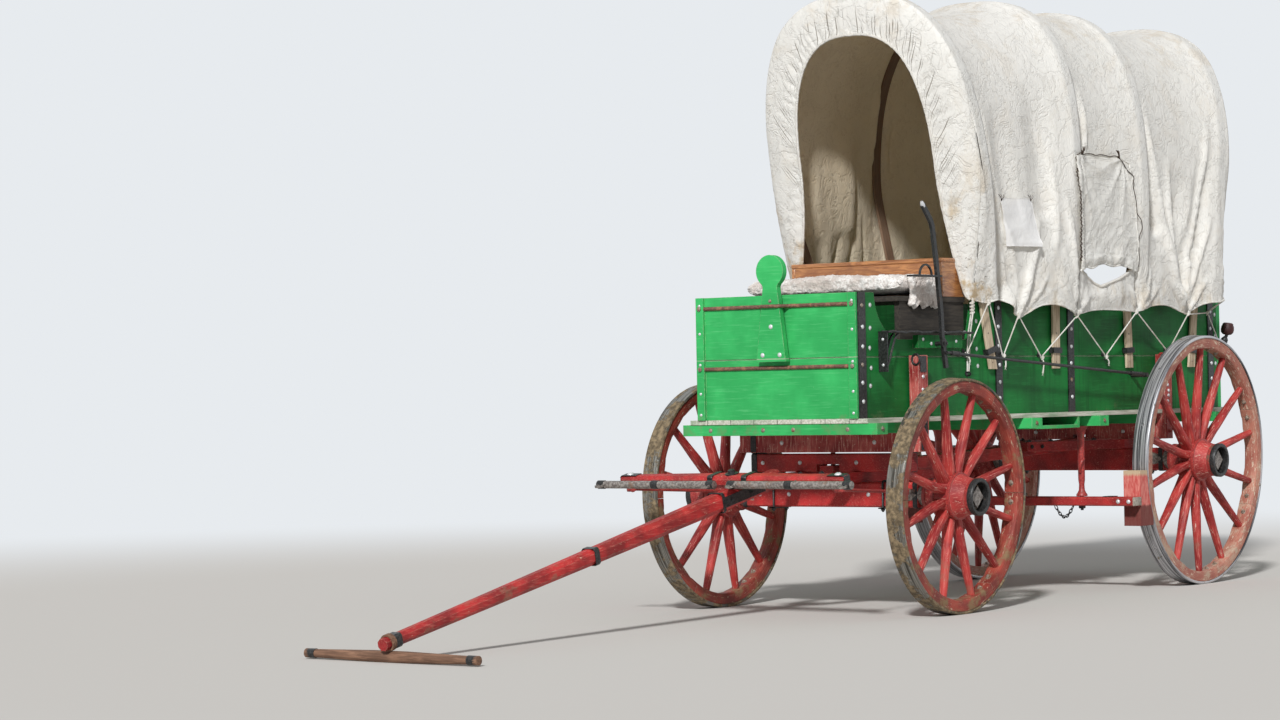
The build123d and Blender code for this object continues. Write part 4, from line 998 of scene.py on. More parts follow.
def gridNormals(grid):
    along = np.gradient(grid, axis=0)
    over = np.gradient(grid, axis=1)
    normal = np.cross(along, over)
    normal /= np.linalg.norm(normal, axis=2, keepdims=True) + 1e-12
    # outwards: away from the wagon's middle line, all over the sheet alike
    middle = np.array((0, 0, 1.9))
    facing = ((grid - middle)[:, :, 1:] * normal[:, :, 1:]).sum()
    return normal * (-1 if facing < 0 else 1)


def crumple(spot, scale, sharp=2):
    # thin ridges, as where cloth has been folded and pulled out again
    value, size = 0.0, 1.0
    for octave in range(3):
        crest = 1 - abs(noise.noise(Vector(spot) * scale * 1.9 ** octave + Vector((octave * 7.3, 0, 0)))) * 2
        value += max(0.0, crest) ** sharp * size
        size *= 0.5
    return value


def fanFolds(spot, tie, reach, count, turnedBy):
    # folds that spread up and out from a lacing
    dx, dz = spot[0] - tie[0], spot[2] - tie[2]
    distance = math.hypot(dx, dz)
    if distance > reach or distance < 1e-6:
        return 0.0
    angle = math.atan2(dx, max(dz, 1e-6))
    wander = noise.noise(Vector((angle * 2.1, distance * 3, tie[0] * 5))) * 0.25
    wave = math.sin((angle + wander) * count + turnedBy)
    crest = 1 - abs(wave) ** 0.7
    fade = (1 - distance / reach) ** 1.5 * min(1.0, distance / 0.07) * max(0.0, math.cos(angle * 0.9)) ** 0.5
    return crest * fade


def foldLift(table, x, z):
    # the height of drawn folds at each place of the sheet
    # a fold grows from its upper end and fades at its foot
    lift = np.zeros(x.shape)
    for points, width, height, crest in table:
        lengths = [math.dist(a, b) for a, b in zip(points, points[1:])]
        total, before = sum(lengths), 0.0
        nearest = np.full(x.shape, 9.0)
        place = np.zeros(x.shape)
        for (ax, az), (bx, bz), length in zip(points, points[1:], lengths):
            share = np.clip(((x - ax) * (bx - ax) + (z - az) * (bz - az)) / length ** 2, 0, 1)
            away = np.hypot(x - ax - (bx - ax) * share, z - az - (bz - az) * share)
            closer = away < nearest
            nearest = np.where(closer, away, nearest)
            place = np.where(closer, (before + share * length) / total, place)
            before += length
        grow = np.clip(place / 0.3, 0, 1) * np.clip((1 - place) / 0.1, 0.25, 1)
        body = np.clip(1 - nearest / (2.2 * width), 0, 1)
        flank = 1 if crest < 1.5 else (2 - body) * body ** 0.5
        lift += height * grow * body ** (2.2 if crest < 1.5 else 1.0) * flank
    return lift


def dressSheet(look, rows, across, grid):
    normal = gridNormals(grid)
    ties = [(x, z) for x, z, half, tied in hemTable if tied]
    lift = np.zeros(grid.shape[:2])
    for r, (*_, kind, number) in enumerate(rows):
        nearMouth = number if kind in ("front", "rear") else 0.0
        for c, v in enumerate(across):
            x, y, z = grid[r, c]
            spot = (x, y, z)
            low = max(0.0, (2.35 - z) / 0.85)
            height = 0.0
            # pleats gathered by the draw cord, smooth along the cord itself
            if nearMouth > 0.45:
                run = v * 52 + noise.noise(Vector((v * 9, 3.1, 0.5 if kind == "front" else 7.5))) * 1.6
                pleat = abs(math.sin(run * math.pi / 2)) ** 0.6 - 1
                length = 0.62 + 0.3 * noise.noise(Vector((math.floor(run / 2) * 3.7, 1.2, 8.8)))
                grow = max(0.0, (nearMouth - length) / (1 - length)) * min(1.0, (1 - nearMouth) / 0.08)
                high = min(1.0, max(0.0, (z - 1.85) / 0.4))
                height += pleat * look["pleat"] * grow ** 0.7 * (0.1 + 0.9 * high)
            # fans above the lacings
            for index, (tieX, tieZ) in enumerate(ties):
                if abs(x - tieX) < 0.75 and z < tieZ + 0.8:
                    side = 1.7 if y < 0 else 0.0
                    tie = (tieX, 0, tieZ - 0.02)
                    height += look["fan"] * fanFolds(spot, tie, look["fanReach"], 7.5 + index % 3,
                                                     index * 1.9 + side)
            # long hanging folds down the sides, softer waves, fine creases
            hang = noise.noise(Vector((x * 7.5 + z * 0.6, y * 2, z * 0.55)))
            height += look["hang"] * hang * min(1.0, low * 1.3)
            height += look["wave"] * noise.noise(Vector((x * 3.1, y * 3.1, z * 2.3 + 4)))
            height += look["crease"] * crumple((x * 0.9 + 3, y, z * 0.8), 6.5) * (0.25 + 0.75 * low)
            height += look["fineCrease"] * crumple((x + 9, y * 1.2, z), 17, 1.5) * (0.5 + 0.5 * low)
            if kind == "bow":
                height *= 0.25 if z > 2.1 else 0.7
            lift[r, c] = height
    # the drawn folds, shifted on the right side and kept clear of its mouth, and the pouch under the window
    x, y, z = grid[:, :, 0], grid[:, :, 1], grid[:, :, 2]
    left = foldLift(foldTable, x, z)
    right = foldLift(foldTable, x * 0.97 - 0.12, z + 0.04) * np.clip((-0.60 - x) / 0.15, 0, 1)
    folds = np.where(y > 0, left, right * look["rightFolds"]) * look["foldScale"]
    deep, alongX, upZ, long, broad = look["pouch"]
    pouch = deep * np.exp(-((x - alongX) / long) ** 2 - ((z - upZ) / broad) ** 2)
    lift += folds + np.where(y > 0, pouch, 0)
    # the cloth stays outside the bows
    for r, (*_, share, kind, number) in enumerate(rows):
        lowest = -look["sink"]
        if kind == "bay":
            lowest -= 0.7 * min(share, 1 - share)
        elif kind != "bow":
            lowest -= 0.11 * number
        lift[r] = np.maximum(lift[r], lowest)
    # how far each place lies below the cloth round it
    soft = lift
    for turn in range(5):
        padded = np.pad(soft, 1, "edge")
        soft = (padded[2:, 1:-1] + padded[:-2, 1:-1] + padded[1:-1, 2:] + padded[1:-1, :-2]) / 4
    return grid + normal * lift[:, :, None], lift - soft


def smoothGrid(grid, times, keep):
    for turn in range(times):
        soft = grid.copy()
        soft[1:-1, :] = (grid[:-2, :] + grid[2:, :] + 2 * grid[1:-1, :]) / 4
        grid = grid * keep[:, None, None] + soft * (1 - keep[:, None, None])
    return grid


def windowEdge(window):
    # the outline of the opening, from its front corner under the flap, down and round its sagging lower edge
    front, rear = window["front"], window["rear"]
    points = [(front, window["top"]), (front, window["sill"])]
    for step in range(1, 60):
        share = step / 60
        low = min(share / window["lowest"], (1 - share) / (1 - window["lowest"])) ** 0.8
        points.append((front + (rear - front) * share, window["sill"] - window["dip"] * low))
    return points + [(rear, window["sill"]), (rear, window["top"])]


def inWindow(edge, x, z):
    # counts the outline's crossings to one side of the place
    inside = False
    for (ax, az), (bx, bz) in zip(edge, edge[1:] + edge[:1]):
        if (az > z) != (bz > z) and x < ax + (bx - ax) * (z - az) / (bz - az):
            inside = not inside
    return inside


def nearestOn(edge, x, z):
    best = None
    for (ax, az), (bx, bz) in zip(edge, edge[1:] + edge[:1]):
        square = (bx - ax) ** 2 + (bz - az) ** 2
        share = min(1.0, max(0.0, ((x - ax) * (bx - ax) + (z - az) * (bz - az)) / square))
        spot = (ax + (bx - ax) * share, az + (bz - az) * share)
        away = math.dist(spot, (x, z))
        if best is None or away < best[0]:
            best = (away, spot)
    return best[1]


def leftFace(skin, x, z):
    # where a line from the wagon's left meets the cover
    return skin.ray_cast(Vector((x, 1.2, z)), Vector((0, -1, 0)))[0]


def makeCover():
    look = coverLook
    rows, across, grid = baseSheet(look)
    keep = np.array([0.93 if row[6] == "bow" else 0.0 for row in rows])
    keep[0] = keep[-1] = 1
    grid = smoothGrid(grid, 6, keep)
    grid, depth = dressSheet(look, rows, across, grid)
    count = len(across)
    edge = windowEdge(look["window"])
    window = look["window"]
    cut = set()
    for r in range(len(rows) - 1):
        for c in range(count // 2, count - 1):
            middle = (grid[r, c] + grid[r + 1, c + 1]) / 2
            if window["rear"] < middle[0] < window["front"] and middle[2] < window["top"] \
                    and inWindow(edge, middle[0], middle[2]):
                cut.add((r, c))
    # the cut cells' outer corners move onto the outline
    corners = {}
    for r, c in cut:
        for spot in ((r, c), (r + 1, c), (r, c + 1), (r + 1, c + 1)):
            corners[spot] = corners.get(spot, 0) + 1
    for (r, c), uses in corners.items():
        if uses < 4:
            x, z = nearestOn(edge, grid[r, c, 0], grid[r, c, 2])
            grid[r, c, 0], grid[r, c, 2] = x, z
    shape = Shape()
    faces = gridFaces(len(rows), count, cut)
    run = np.zeros(grid.shape[:2])
    run[1:] = np.cumsum(np.linalg.norm(np.diff(grid, axis=0), axis=2), axis=0)
    run *= (run[-1].max() / run[-1])[None, :]
    over = np.zeros(grid.shape[:2])
    over[:, 1:] = np.cumsum(np.linalg.norm(np.diff(grid, axis=1), axis=2), axis=1)
    over -= over[:, count // 2][:, None]
    # the grain's third place carries how deep each place lies below the cloth round it, for the painted shade
    # in the folds
    grain = [(run[r, c], over[r, c], depth[r, c]) for r in range(len(rows)) for c in range(count)]
    shape.add([tuple(point) for line in grid for point in line], faces, None, 0, grain, (0, 0, 0))
    cover = makePiece("coverSheet", shape, [canvas], "root", ["cover"], 180)
    print("cover sheet: faces", len(faces))

    # the inner face, a cloth's thickness inside, a darker and warmer copy of the canvas as painted shade
    normal = gridNormals(grid)
    inner = grid - normal * look["thickness"]
    lining = Shape()
    columns = [*range(0, count - 1, 2), count - 1]
    wide = len(columns)
    liningFaces = []
    for a in range(len(rows) - 1):
        for b in range(wide - 1):
            if not any((a, c) in cut for c in range(columns[b], columns[b + 1])):
                liningFaces.append((a * wide + b, (a + 1) * wide + b, (a + 1) * wide + b + 1,
                                    a * wide + b + 1))
    cells = [(r, c) for r in range(len(rows)) for c in columns]
    lining.add([tuple(inner[cell]) for cell in cells], liningFaces, None, 0,
               [(run[cell], over[cell], 0) for cell in cells], (0, 0, 0))
    liningPiece = makePiece("coverInside", lining, [inside], "root", (), 180)

    # turned hem at the foot on both sides, and the cord's channel round both mouths
    hem = Shape()
    for c in (0, count - 1):
        path = [grid[r, c] + np.array((0, 0, 0.004)) for r in range(len(rows))]
        hem.tube(path, 0.0045, 0, 6)
    for r in (0, len(rows) - 1):
        path = [(grid[r, c] + inner[r, c]) / 2 for c in range(count)]
        radii = [0.0075 + 0.0016 * noise.noise(Vector((c * 0.55, r, 0))) for c in range(count)]
        hem.tube(path, 0.0075, 0, 8, False, radii)
    sill = [spot for spot in edge if spot[1] < window["top"]]
    skin = BVHTree.FromPolygons([Vector(point) for point in shape.points], faces)
    lip = []
    for x, z in sill:
        hit = leftFace(skin, x, z - 0.012)
        if hit:
            lip.append((x, hit.y - 0.001, z - 0.002))
    hem.tube(lip, 0.008, 0, 8, False,
             [0.008 + 0.003 * noise.noise(Vector((x * 14, z * 9, 2))) for x, y, z in lip])
    # each seam: a lapped strip, and a thick dark thread along its edge, which also paints the shade under the
    # lap
    for line, wide, thread in look["seams"]:
        seam = [leftFace(skin, spot.x, spot.z) + Vector((0, 0.0012, 0)) for spot in smoothPath(line, 14)]
        flatBar(hem, seam, wide, 0.0022, (0.1, 1, 0.2), 0)
        hem.tube([spot + Vector((-wide / 2, 0.0014, 0)) for spot in seam], thread, 1, 6)
    hemPiece = makePiece("coverHem", hem, [patchCloth, darkThreadAndLapShade], "root", (), 60)
    return grid, skin


coverGrid, coverSkin = makeCover()
print("cover laid")


# Small parts are seated on the solids' own surfaces
def skinOf(*names):
    points, faces = [], []
    for name in names:
        start = len(points)
        points += [vertex.co.copy() for vertex in nodes[name].data.vertices]
        faces += [[start + corner for corner in polygon.vertices] for polygon in nodes[name].data.polygons]
    return BVHTree.FromPolygons(points, faces)


def studs(shape, skin, places, towards, radius, height, finish=0, kind="dome", washer=0.0):
    # bolt heads at places, driven the given way into the surface
    towards = Vector(towards).normalized()
    for spot in places:
        start = Vector(spot) - towards * 0.6
        hit = skin.ray_cast(start, towards)[0]
        if hit is None or (hit - Vector(spot)).length > 0.25:
            print("no seat for a bolt at", tuple(round(value, 3) for value in spot))
            continue
        across = Vector((0.3, 0.1, 1)) if kind == "square" else None
        if washer:
            shape.lathe([(-0.001, washer), (0.0018, washer), (0.0024, washer * 0.9), (0.0024, radius * 0.5)],
                        frameAt(hit, -towards), finish, 14)
            hit = hit - towards * 0.002
        shape.bolt(frameAt(hit - towards * -0.001, -towards, across), radius, height, finish, kind)


boxSkin = skinOf("box_side_left", "box_side_right", "front_board", "tailgate", "side_irons", "cross_sills",
                 "box_floor", "rein_post")

# Window flap: a patch of the same cloth laced on at its top corners, creased and scrunched at its foot
flapLook = {"top": ((-1.370, 2.312), (-1.420, 2.332), (-1.67, 2.336), (-1.87, 2.336), (-2.000, 2.305)),
            "foot": ((-1.430, 1.716), (-1.53, 1.734), (-1.70, 1.752), (-1.93, 1.752), (-2.105, 1.722)),
            "columns": 96, "rows": 88, "stand": 0.009,
            # folds from the upper corners: their place along the top, and their lean
            "folds": ((0.06, 0.75), (0.90, -0.8)), "foldHeight": 0.015}


def alongRow(points, share):
    at = points[0][0] + (points[-1][0] - points[0][0]) * share
    return at, blendAlong([(-x, z) for x, z in points], -at)


def flapPoints(look):
    columns, rows = look["columns"], look["rows"]
    places = {}
    for row in range(rows + 1):
        down = row / rows
        for column in range(columns + 1):
            share = column / columns
            topX, topZ = alongRow(look["top"], share)
            lowX, lowZ = alongRow(look["foot"], share)
            x, z = topX + (lowX - topX) * down, topZ + (lowZ - topZ) * down
            x += 0.006 * math.sin(down * 9 + 1) * (1 - abs(2 * share - 1))
            hit = leftFace(coverSkin, x, z)
            places[row, column] = [x, hit.y if hit and hit.y > 0.4 else None, z]
    for row in range(rows + 1):
        found = [places[row, column][1]
                 for column in range(columns + 1) if places[row, column][1] is not None]
        for column in range(columns + 1):
            if places[row, column][1] is None:
                places[row, column][1] = sum(found) / len(found)
    points, grain = [], []
    for row in range(rows + 1):
        down = row / rows
        first, last = places[row, 0][1], places[row, columns][1]
        for column in range(columns + 1):
            share = column / columns
            x, y, z = places[row, column]
            chord = first + (last - first) * share
            y = max(y, y * 0.45 + chord * 0.55) + look["stand"]
            # folds that run down from the upper corners, small crumples lower down, a bulging foot
            for cornerShare, lean in look["folds"]:
                away = math.hypot((share - cornerShare) * 0.65, down * 0.6)
                angle = math.atan2((share - cornerShare) * 0.65, down * 0.6 + 1e-6)
                wander = noise.noise(Vector((away * 3, angle * 2, 1)))
                fold = 1 - abs(math.sin((angle - lean * 0.35) * 6.5 + wander)) ** 0.8
                y += look["foldHeight"] * fold * max(0.0, 1 - away / 0.62) * min(1.0, away / 0.08)
            fine = 0.0018 * crumple((x + 4, 1, z * 1.1), 20, 1.4) * (0.2 + down)
            y += 0.0042 * crumple((x + z, 0, z), 8) * (0.2 + down) + fine
            middle = 1 - abs(2 * share - 1) ** 2.4
            # scrunched along its foot in uneven lumps
            lump = noise.noise(Vector((share * 6.5, 0.7, down * 4)))
            y += (0.009 + 0.016 * lump) * middle * math.exp(-((down - 0.91 - 0.05 * lump) / 0.05) ** 2)
            pleat = noise.noise(Vector((share * 14, 0.3, 5.5 + down * 3)))
            y += 0.010 * pleat * middle * max(0.0, (down - 0.80) / 0.2)
            z += 0.014 * noise.noise(Vector((share * 9, 2.3, 1.5))) * max(0.0, (down - 0.8) / 0.2)
            # the foot rolls under
            roll = max(0.0, (down - 0.955) / 0.045)
            y -= 0.010 * middle * roll * roll
            z += 0.003 * middle * roll
            points.append((x, y, z))
            grain.append((share * 0.66, down * 0.6, 0))
    return points, grain


def makeFlap():
    columns, rows = flapLook["columns"], flapLook["rows"]
    wide = columns + 1
    points, grain = flapPoints(flapLook)
    shape = Shape()
    shape.add(points, gridFaces(rows + 1, wide), None, 0, grain, (1, 1, 0))
    flap = makePiece("windowFlap", shape, [patchCloth], "root", (), 180)

    def at(share, down, out=0.0):
        column, row = round(share * columns), round(down * rows)
        return Vector(points[row * wide + column]) + Vector((0, out, 0))

    trim = Shape()
    # a turned hem with its line of stitches down the front edge, plain hems elsewhere
    flatBar(trim, [at(0.03, step / 60, 0.003) for step in range(61)], 0.036, 0.004, (0, 1, 0), 0)
    trim.tube([at(1, step / 60) for step in range(61)], 0.004, 0, 6)
    trim.tube([at(step / 60, 1) for step in range(61)], 0.0055, 0, 6)
    trim.tube([at(step / 60, 0) for step in range(61)], 0.003, 0, 6)
    for step in range(46):
        start = at(0.042, 0.07 + 0.86 * step / 46, 0.0062)
        trim.tube([start, start + Vector((0, 0.0006, -0.006))], 0.0012, 1, 5)
    # frayed dark lacing down the front edge, in bights through the cover
    lace, height = [], 0.10
    while height < 0.90:
        spot = at(0, height)
        swing = 0.008 * noise.noise(Vector((height * 23, 0.2, 0.9)))
        lace.append(spot + Vector((0.008 + swing, 0.003, 0)))
        lace.append(spot + Vector((-0.006 + swing, 0.004, -0.010)))
        height += 0.038
    trim.tube(smoothPath(lace, 4), 0.0028, 2, 6)
    # the cord along the top, its knots, and its loose run down the rear edge
    top = [at(0.0, 0.02, 0.004) + Vector((0.006, 0, -0.01))] + [
        at(step / 12, 0.0, 0.004) + Vector((0, 0, 0.004 * math.sin(step * 2.2))) for step in range(0, 11)]
    trim.tube(smoothPath(top, 5), 0.0022, 2, 6)
    side = [at(0.80, 0.0, 0.005), at(0.86, 0.03, 0.006), at(0.93, 0.075, 0.005), at(0.995, 0.12, 0.004)]
    side += [at(1, 0.12 + step * 0.07, 0.004) + Vector((-0.004 + 0.003 * math.sin(step * 1.9), 0, 0))
             for step in range(1, 6)]
    side += [at(1, 0.52, 0.012) + Vector((-0.034, 0, 0)), at(1, 0.60, 0.010) + Vector((-0.040, 0, 0)),
             at(1, 0.68, 0.004) + Vector((-0.010, 0, 0)), at(1, 0.78, 0.003), at(1, 0.88, 0.003),
             at(1, 0.97, 0.004)]
    trim.tube(smoothPath(side, 6), 0.0024, 2, 6)
    for share, lean in ((0.10, 0.5), (0.81, -0.6)):
        knot = at(share, 0.0, 0.006)
        for turn in range(3):
            ring = [knot + Vector((0.006 * math.cos(a) * (1 + turn * 0.2) + lean * 0.004 * turn,
                                   0.004 * math.sin(a + turn), 0.006 * math.sin(a) + turn * 0.005))
                    for a in around(10)]
            trim.tube(ring, 0.0030, 2, 6, True)
        for swing in (-0.5, 0.15, 0.8):
            tail = [knot, knot + Vector((-lean * 0.014 + swing * 0.01, 0.006, 0.016)),
                    knot + Vector((-lean * 0.03 + swing * 0.018, 0.003, 0.034))]
            trim.tube(smoothPath(tail, 4), 0.0022, 2, 5)
    trimPiece = makePiece("flapTrim", trim, [patchCloth, darkThreadAndLapShade, darkCord], "root", (), 60)


makeFlap()

# Bare sign pinned to the cover by its upper corners
signLook = {"corners": ((-0.745, 2.076), (-1.030, 2.083), (-1.055, 1.832), (-0.795, 1.830)), "steps": 36}


def makeSign():
    steps = signLook["steps"]
    (ax, az), (bx, bz), (cx, cz), (dx, dz) = signLook["corners"]
    points, grain = [], []
    for row in range(steps + 1):
        down = row / steps
        line = []
        for column in range(steps + 1):
            share = column / steps
            x = (ax + (bx - ax) * share) * (1 - down) + (dx + (cx - dx) * share) * down
            z = (az + (bz - az) * share) * (1 - down) + (dz + (cz - dz) * share) * down
            z -= 0.004 * math.sin(share * math.pi) * (1 - down)
            line.append([x, leftFace(coverSkin, x, z).y, z])
        first, last = line[0][1], line[-1][1]
        for column, (x, y, z) in enumerate(line):
            share = column / steps
            chord = first + (last - first) * share
            y = max(y, y * 0.2 + chord * 0.8) + 0.005 + 0.012 * down ** 1.5
            fine = 0.0012 * noise.noise(Vector((share * 7, down * 9, 3)))
            y += 0.004 * noise.noise(Vector((share * 2.2, down * 1.6, 3))) + fine
            for corner in ((0, 0), (1, 0)):
                y -= 0.004 * max(0.0, 1 - math.dist((share, down), corner) / 0.16)
            points.append((x, y, z))
            grain.append((share * 0.3, down * 0.25, 0))
    wide = steps + 1
    shape = Shape()
    shape.add(points, gridFaces(wide, wide), None, 0, grain, (1, 1, 0))
    sign = makePiece("bareSign", shape, [signCloth], "root", (), 180)
    trim = Shape()
    border = [points[column] for column in range(wide)] + [
        points[row * wide + steps] for row in range(1, wide)]
    border += [points[steps * wide + column] for column in range(steps - 1, -1, -1)]
    border += [points[row * wide] for row in range(steps - 1, 0, -1)]
    trim.tube(border, 0.0016, 0, 5, True)
    for column in (1, steps - 1):
        spot = Vector(points[wide + column]) + Vector((0, 0.001, -0.004))
        trim.bolt(frameAt(spot, (0, 1, 0)), 0.006, 0.003, 1)
        for swing in (-0.014, 0.003, 0.016):
            tail = beside(spot, 1, ((0, 0, 0), (swing, 0.006, 0.014), (swing * 1.7, 0.0, 0.028)))
            trim.tube(smoothPath(tail, 3), 0.0013, 1, 5)
    trimPiece = makePiece("signTrim", trim, [signCloth, darkCord], "root", (), 60)


signCloth = canvasCloth("signCloth", dict(
    canvasLook, cloth=(0.90, 0.90, 0.90), shade=(0.84, 0.84, 0.85), tan=(0.74, 0.70, 0.62),
    crease=(0.74, 0.74, 0.74), depth=0.0012))
makeSign()
print("flap and sign hung")

# Lashing: a white rope zigzags between the hem and iron hooks on the box
ropeLook = {
    # thickness, the length of one turn of its strands, and the side board's face that the hooks stand on
    "radius": 0.0036, "lay": 0.021, "board": 0.478,
    # the rope's way under a hook and through the hem, as steps from them
    "underHook": ((0.011, 0.003, 0.012), (0.007, 0.004, -0.002), (0, 0.005, -0.007), (-0.007, 0.004, -0.002),
                  (-0.011, 0.003, 0.012)),
    "throughHem": ((0.008, 0, -0.014), (0.006, 0, 0.003), (-0.006, 0, 0.003), (-0.008, 0, -0.014)),
    # hooks on the side boards (along, up) and lashings in the hem, by turns from front to rear
    "hooks": ((-0.485, 1.278), (-0.845, 1.272), (-1.235, 1.261), (-1.920, 1.265), (-2.628, 1.286),
              (-3.242, 1.348)),
    "ties": (-0.645, -0.925, -1.430, -2.140, -2.700),
}


def ropeFibre(name, look):
    # three strands laid together, from the place along and round the rope
    shader = Shader(name)
    run, across, over = shader.axes(shader.place((1, 1, 1)))
    turn = shader.sum("ARCTAN2", over, across)
    wave = shader.sum("COSINE", turn * 3 + run * (math.tau / look["lay"]))
    strand = shader.sum("ABSOLUTE", wave) ** 0.6
    dirt = shader.noise(shader.place((1, 1, 1), False), 7, 4, 0.7)
    fibre = shader.noise(shader.place((700, 700, 700)), 1.0, 2)
    colour = shader.mix(shader.ease(dirt, 0.35, 0.65), (0.60, 0.56, 0.48), (0.84, 0.82, 0.77))
    colour = shader.mix(shader.ease(strand, 0.35, 0.0) * 0.7, colour, (0.28, 0.25, 0.20))
    return shader.surface({"Base Color": colour, "Roughness": 0.85,
                           "Normal": shader.bump(strand + fibre * 0.3, 0.8, 0.0016), "Sheen Weight": 0.2})


def hemPoint(x, side, up=0.012):
    # the lashing's place in the hem at a station, on the dressed sheet
    edge = -1 if side > 0 else 0
    row = min(range(len(coverGrid)), key=lambda r: abs(coverGrid[r, edge, 0] - x)
              + (0 if coverGrid[r, edge, 2] < 1.66 else 9))
    foot = Vector(coverGrid[row, edge])
    above = Vector(coverGrid[row, -4 if side > 0 else 3])
    return foot + (above - foot).normalized() * up


def makeHook(shape, x, z, side):
    # a forged hook with its plate, opening upwards
    y = side * ropeLook["board"]
    plate = outFrom(x, ropeLook["board"], z + 0.012, side)
    shape.lathe([(-0.001, 0.015), (0.003, 0.015), (0.0035, 0.012)], plate, 0, 12)
    path = [(x, y + side * out, z + up) for out, up in (
        (0, 0.012), (0.016, 0.010), (0.024, -0.002), (0.026, -0.012), (0.018, -0.020), (0.008, -0.016))]
    shape.tube(smoothPath(path, 5), 0.0042, 0, 8)
    return Vector((x, y + side * 0.017, z - 0.004))


def knotAt(shape, spot, side, size, finish=0):
    # turns of rope drawn tight round a place
    for turn in range(3):
        tilt = (turn - 1) * 0.5
        ring = []
        for a in around(12):
            up = math.sin(a) * size * 0.5 + math.cos(a) * tilt * size + (turn - 1) * size * 0.55
            out = side * (0.3 + 0.7 * math.sin(a)) * size * 0.8
            ring.append(spot + Vector((math.cos(a) * size, out, up)))
        shape.tube(ring, ropeLook["radius"], finish, 7, True)


def looseEnd(shape, spot, side, length, swing):
    # a frayed end that hangs under its knot
    radius = ropeLook["radius"]
    path = smoothPath(beside(spot, side, (
        (0, 0, 0), (swing * 0.3, 0.006, -length * 0.3), (swing * 0.8, 0.007, -length * 0.7),
        (swing, 0.004, -length))), 5)
    radii = [radius * (1 + 0.5 * (index / len(path)) ** 3) for index in range(len(path))]
    shape.tube(path, radius, 0, 7, False, radii)
    for strand in range(5):
        a = strand * 1.3
        tip = path[-1] + Vector((0.006 * math.cos(a), 0.003 * math.sin(a), -0.012 - 0.003 * math.sin(a * 3)))
        shape.tube([path[-1], tip], 0.0009, 0, 4)


def makeLashing(name, side):
    rope, irons = Shape(), Shape()
    path = []
    hooks = [makeHook(irons, x, z, side) for x, z in ropeLook["hooks"]]
    for index, hook in enumerate(hooks):
        path += beside(hook, side, ropeLook["underHook"])
        if index < len(ropeLook["ties"]):
            tie = hemPoint(ropeLook["ties"][index], side)
            over = Vector((0, side * 0.007, 0))
            through = beside(tie + over, side, ropeLook["throughHem"])
            path += through[:2] + [tie + over * 0.6 + Vector((0, 0, 0.008))] + through[2:]
            # a grommet's lashing through the hem, with a small knot
            knotAt(rope, tie + over + Vector((0, 0, -0.012)), side, 0.0085)
    # the last run is caught up by a loop from the corner of the cover, and comes down to the last hook
    rear = hemPoint(-3.06, side)
    bend = Vector((-3.049, side * 0.530, 1.504))
    last = hooks[-1]
    path = path[:-len(ropeLook["underHook"])]
    path += beside(bend, side, ((0.007, 0, 0.003), (-0.004, 0.003, -0.003)))
    path += beside(last, side, ((0.008, 0.004, 0.012), (0, 0.005, -0.007), (-0.007, 0.004, 0.004)))
    rope.tube(path, ropeLook["radius"], 0, 8)
    strands = beside(rear, side, ((0.004, 0.008, -0.004), (-0.008, 0.008, -0.004)))
    loop = beside(bend, side, ((0.005, 0.004, 0.008), (0, 0.006, -0.006), (-0.006, 0.003, 0.008)))
    rope.tube([strands[0], *loop, strands[1]], ropeLook["radius"], 0, 8)
    knotAt(rope, bend, side, 0.008)
    for index, hook in enumerate(hooks):
        knotAt(rope, hook + Vector((0.002, side * 0.010, -0.002)), side, 0.0075)
        looseEnd(rope, hook + Vector((0.002, side * 0.012, -0.010)), side, 0.028 + 0.022 * (index * 7 % 3),
                 0.012 * (index % 3 - 1))
    hangCorner(rope, irons, side)
    makePiece(name + "Rope", rope, [ropeWhite], "root", (), 60)
    makePiece(name + "Hooks", irons, [blackIron], "root", (), 40)


def hangCorner(rope, irons, side):
    # the front corner hangs on two strands with a thick bundle of turns
    corner = hemPoint(-0.525, side)
    bundle = corner + Vector((0.006, side * 0.006, -0.050))
    for lean in (-0.006, 0.008):
        strand = [corner + Vector((lean * 0.4, side * 0.007, 0.0)),
                  bundle + Vector((lean * 0.6, side * 0.004, 0.02)),
                  bundle + Vector((lean, 0, -0.02)), Vector((-0.520 + lean * 1.6, side * 0.494, 1.36)),
                  Vector((-0.512 + lean, side * 0.490, 1.19))]
        rope.tube(smoothPath(strand, 6), ropeLook["radius"] * 1.1, 0, 8)
    for turn in range(7):
        spot = bundle + Vector((0, 0, (turn - 3) * 0.0085))
        slant = 0.005 if turn % 2 else -0.004
        ring = [spot + Vector((math.cos(a) * 0.014, side * math.sin(a) * 0.008, math.cos(a) * slant))
                for a in around(14)]
        rope.tube(ring, ropeLook["radius"] * 1.15, 0, 7, True)
    looseEnd(rope, bundle + Vector((0.012, side * 0.006, -0.02)), side, 0.05, 0.014)
    plate = outFrom(-0.512, ropeLook["board"], 1.180, side)
    irons.lathe([(-0.001, 0.014), (0.003, 0.014), (0.0035, 0.011)], plate, 0, 12)
    bent = [(-0.512, side * y, z)
            for y, z in ((0.478, 1.186), (0.500, 1.184), (0.502, 1.172), (0.480, 1.166))]
    irons.tube(smoothPath(bent, 4), 0.004, 0, 8)


ropeWhite = ropeFibre("ropeWhite", ropeLook)
makeLashing("left", 1)
makeLashing("right", -1)
print("cover lashed down")

# Bows: bent ash, weathered pale outside the box, and painted dark brown above it as the shade under the cover
bowLook = {"foot": 1.200, "footHalf": 0.4863, "knee": 1.600, "thick": 0.014, "width": 0.072, "half": 0.638}


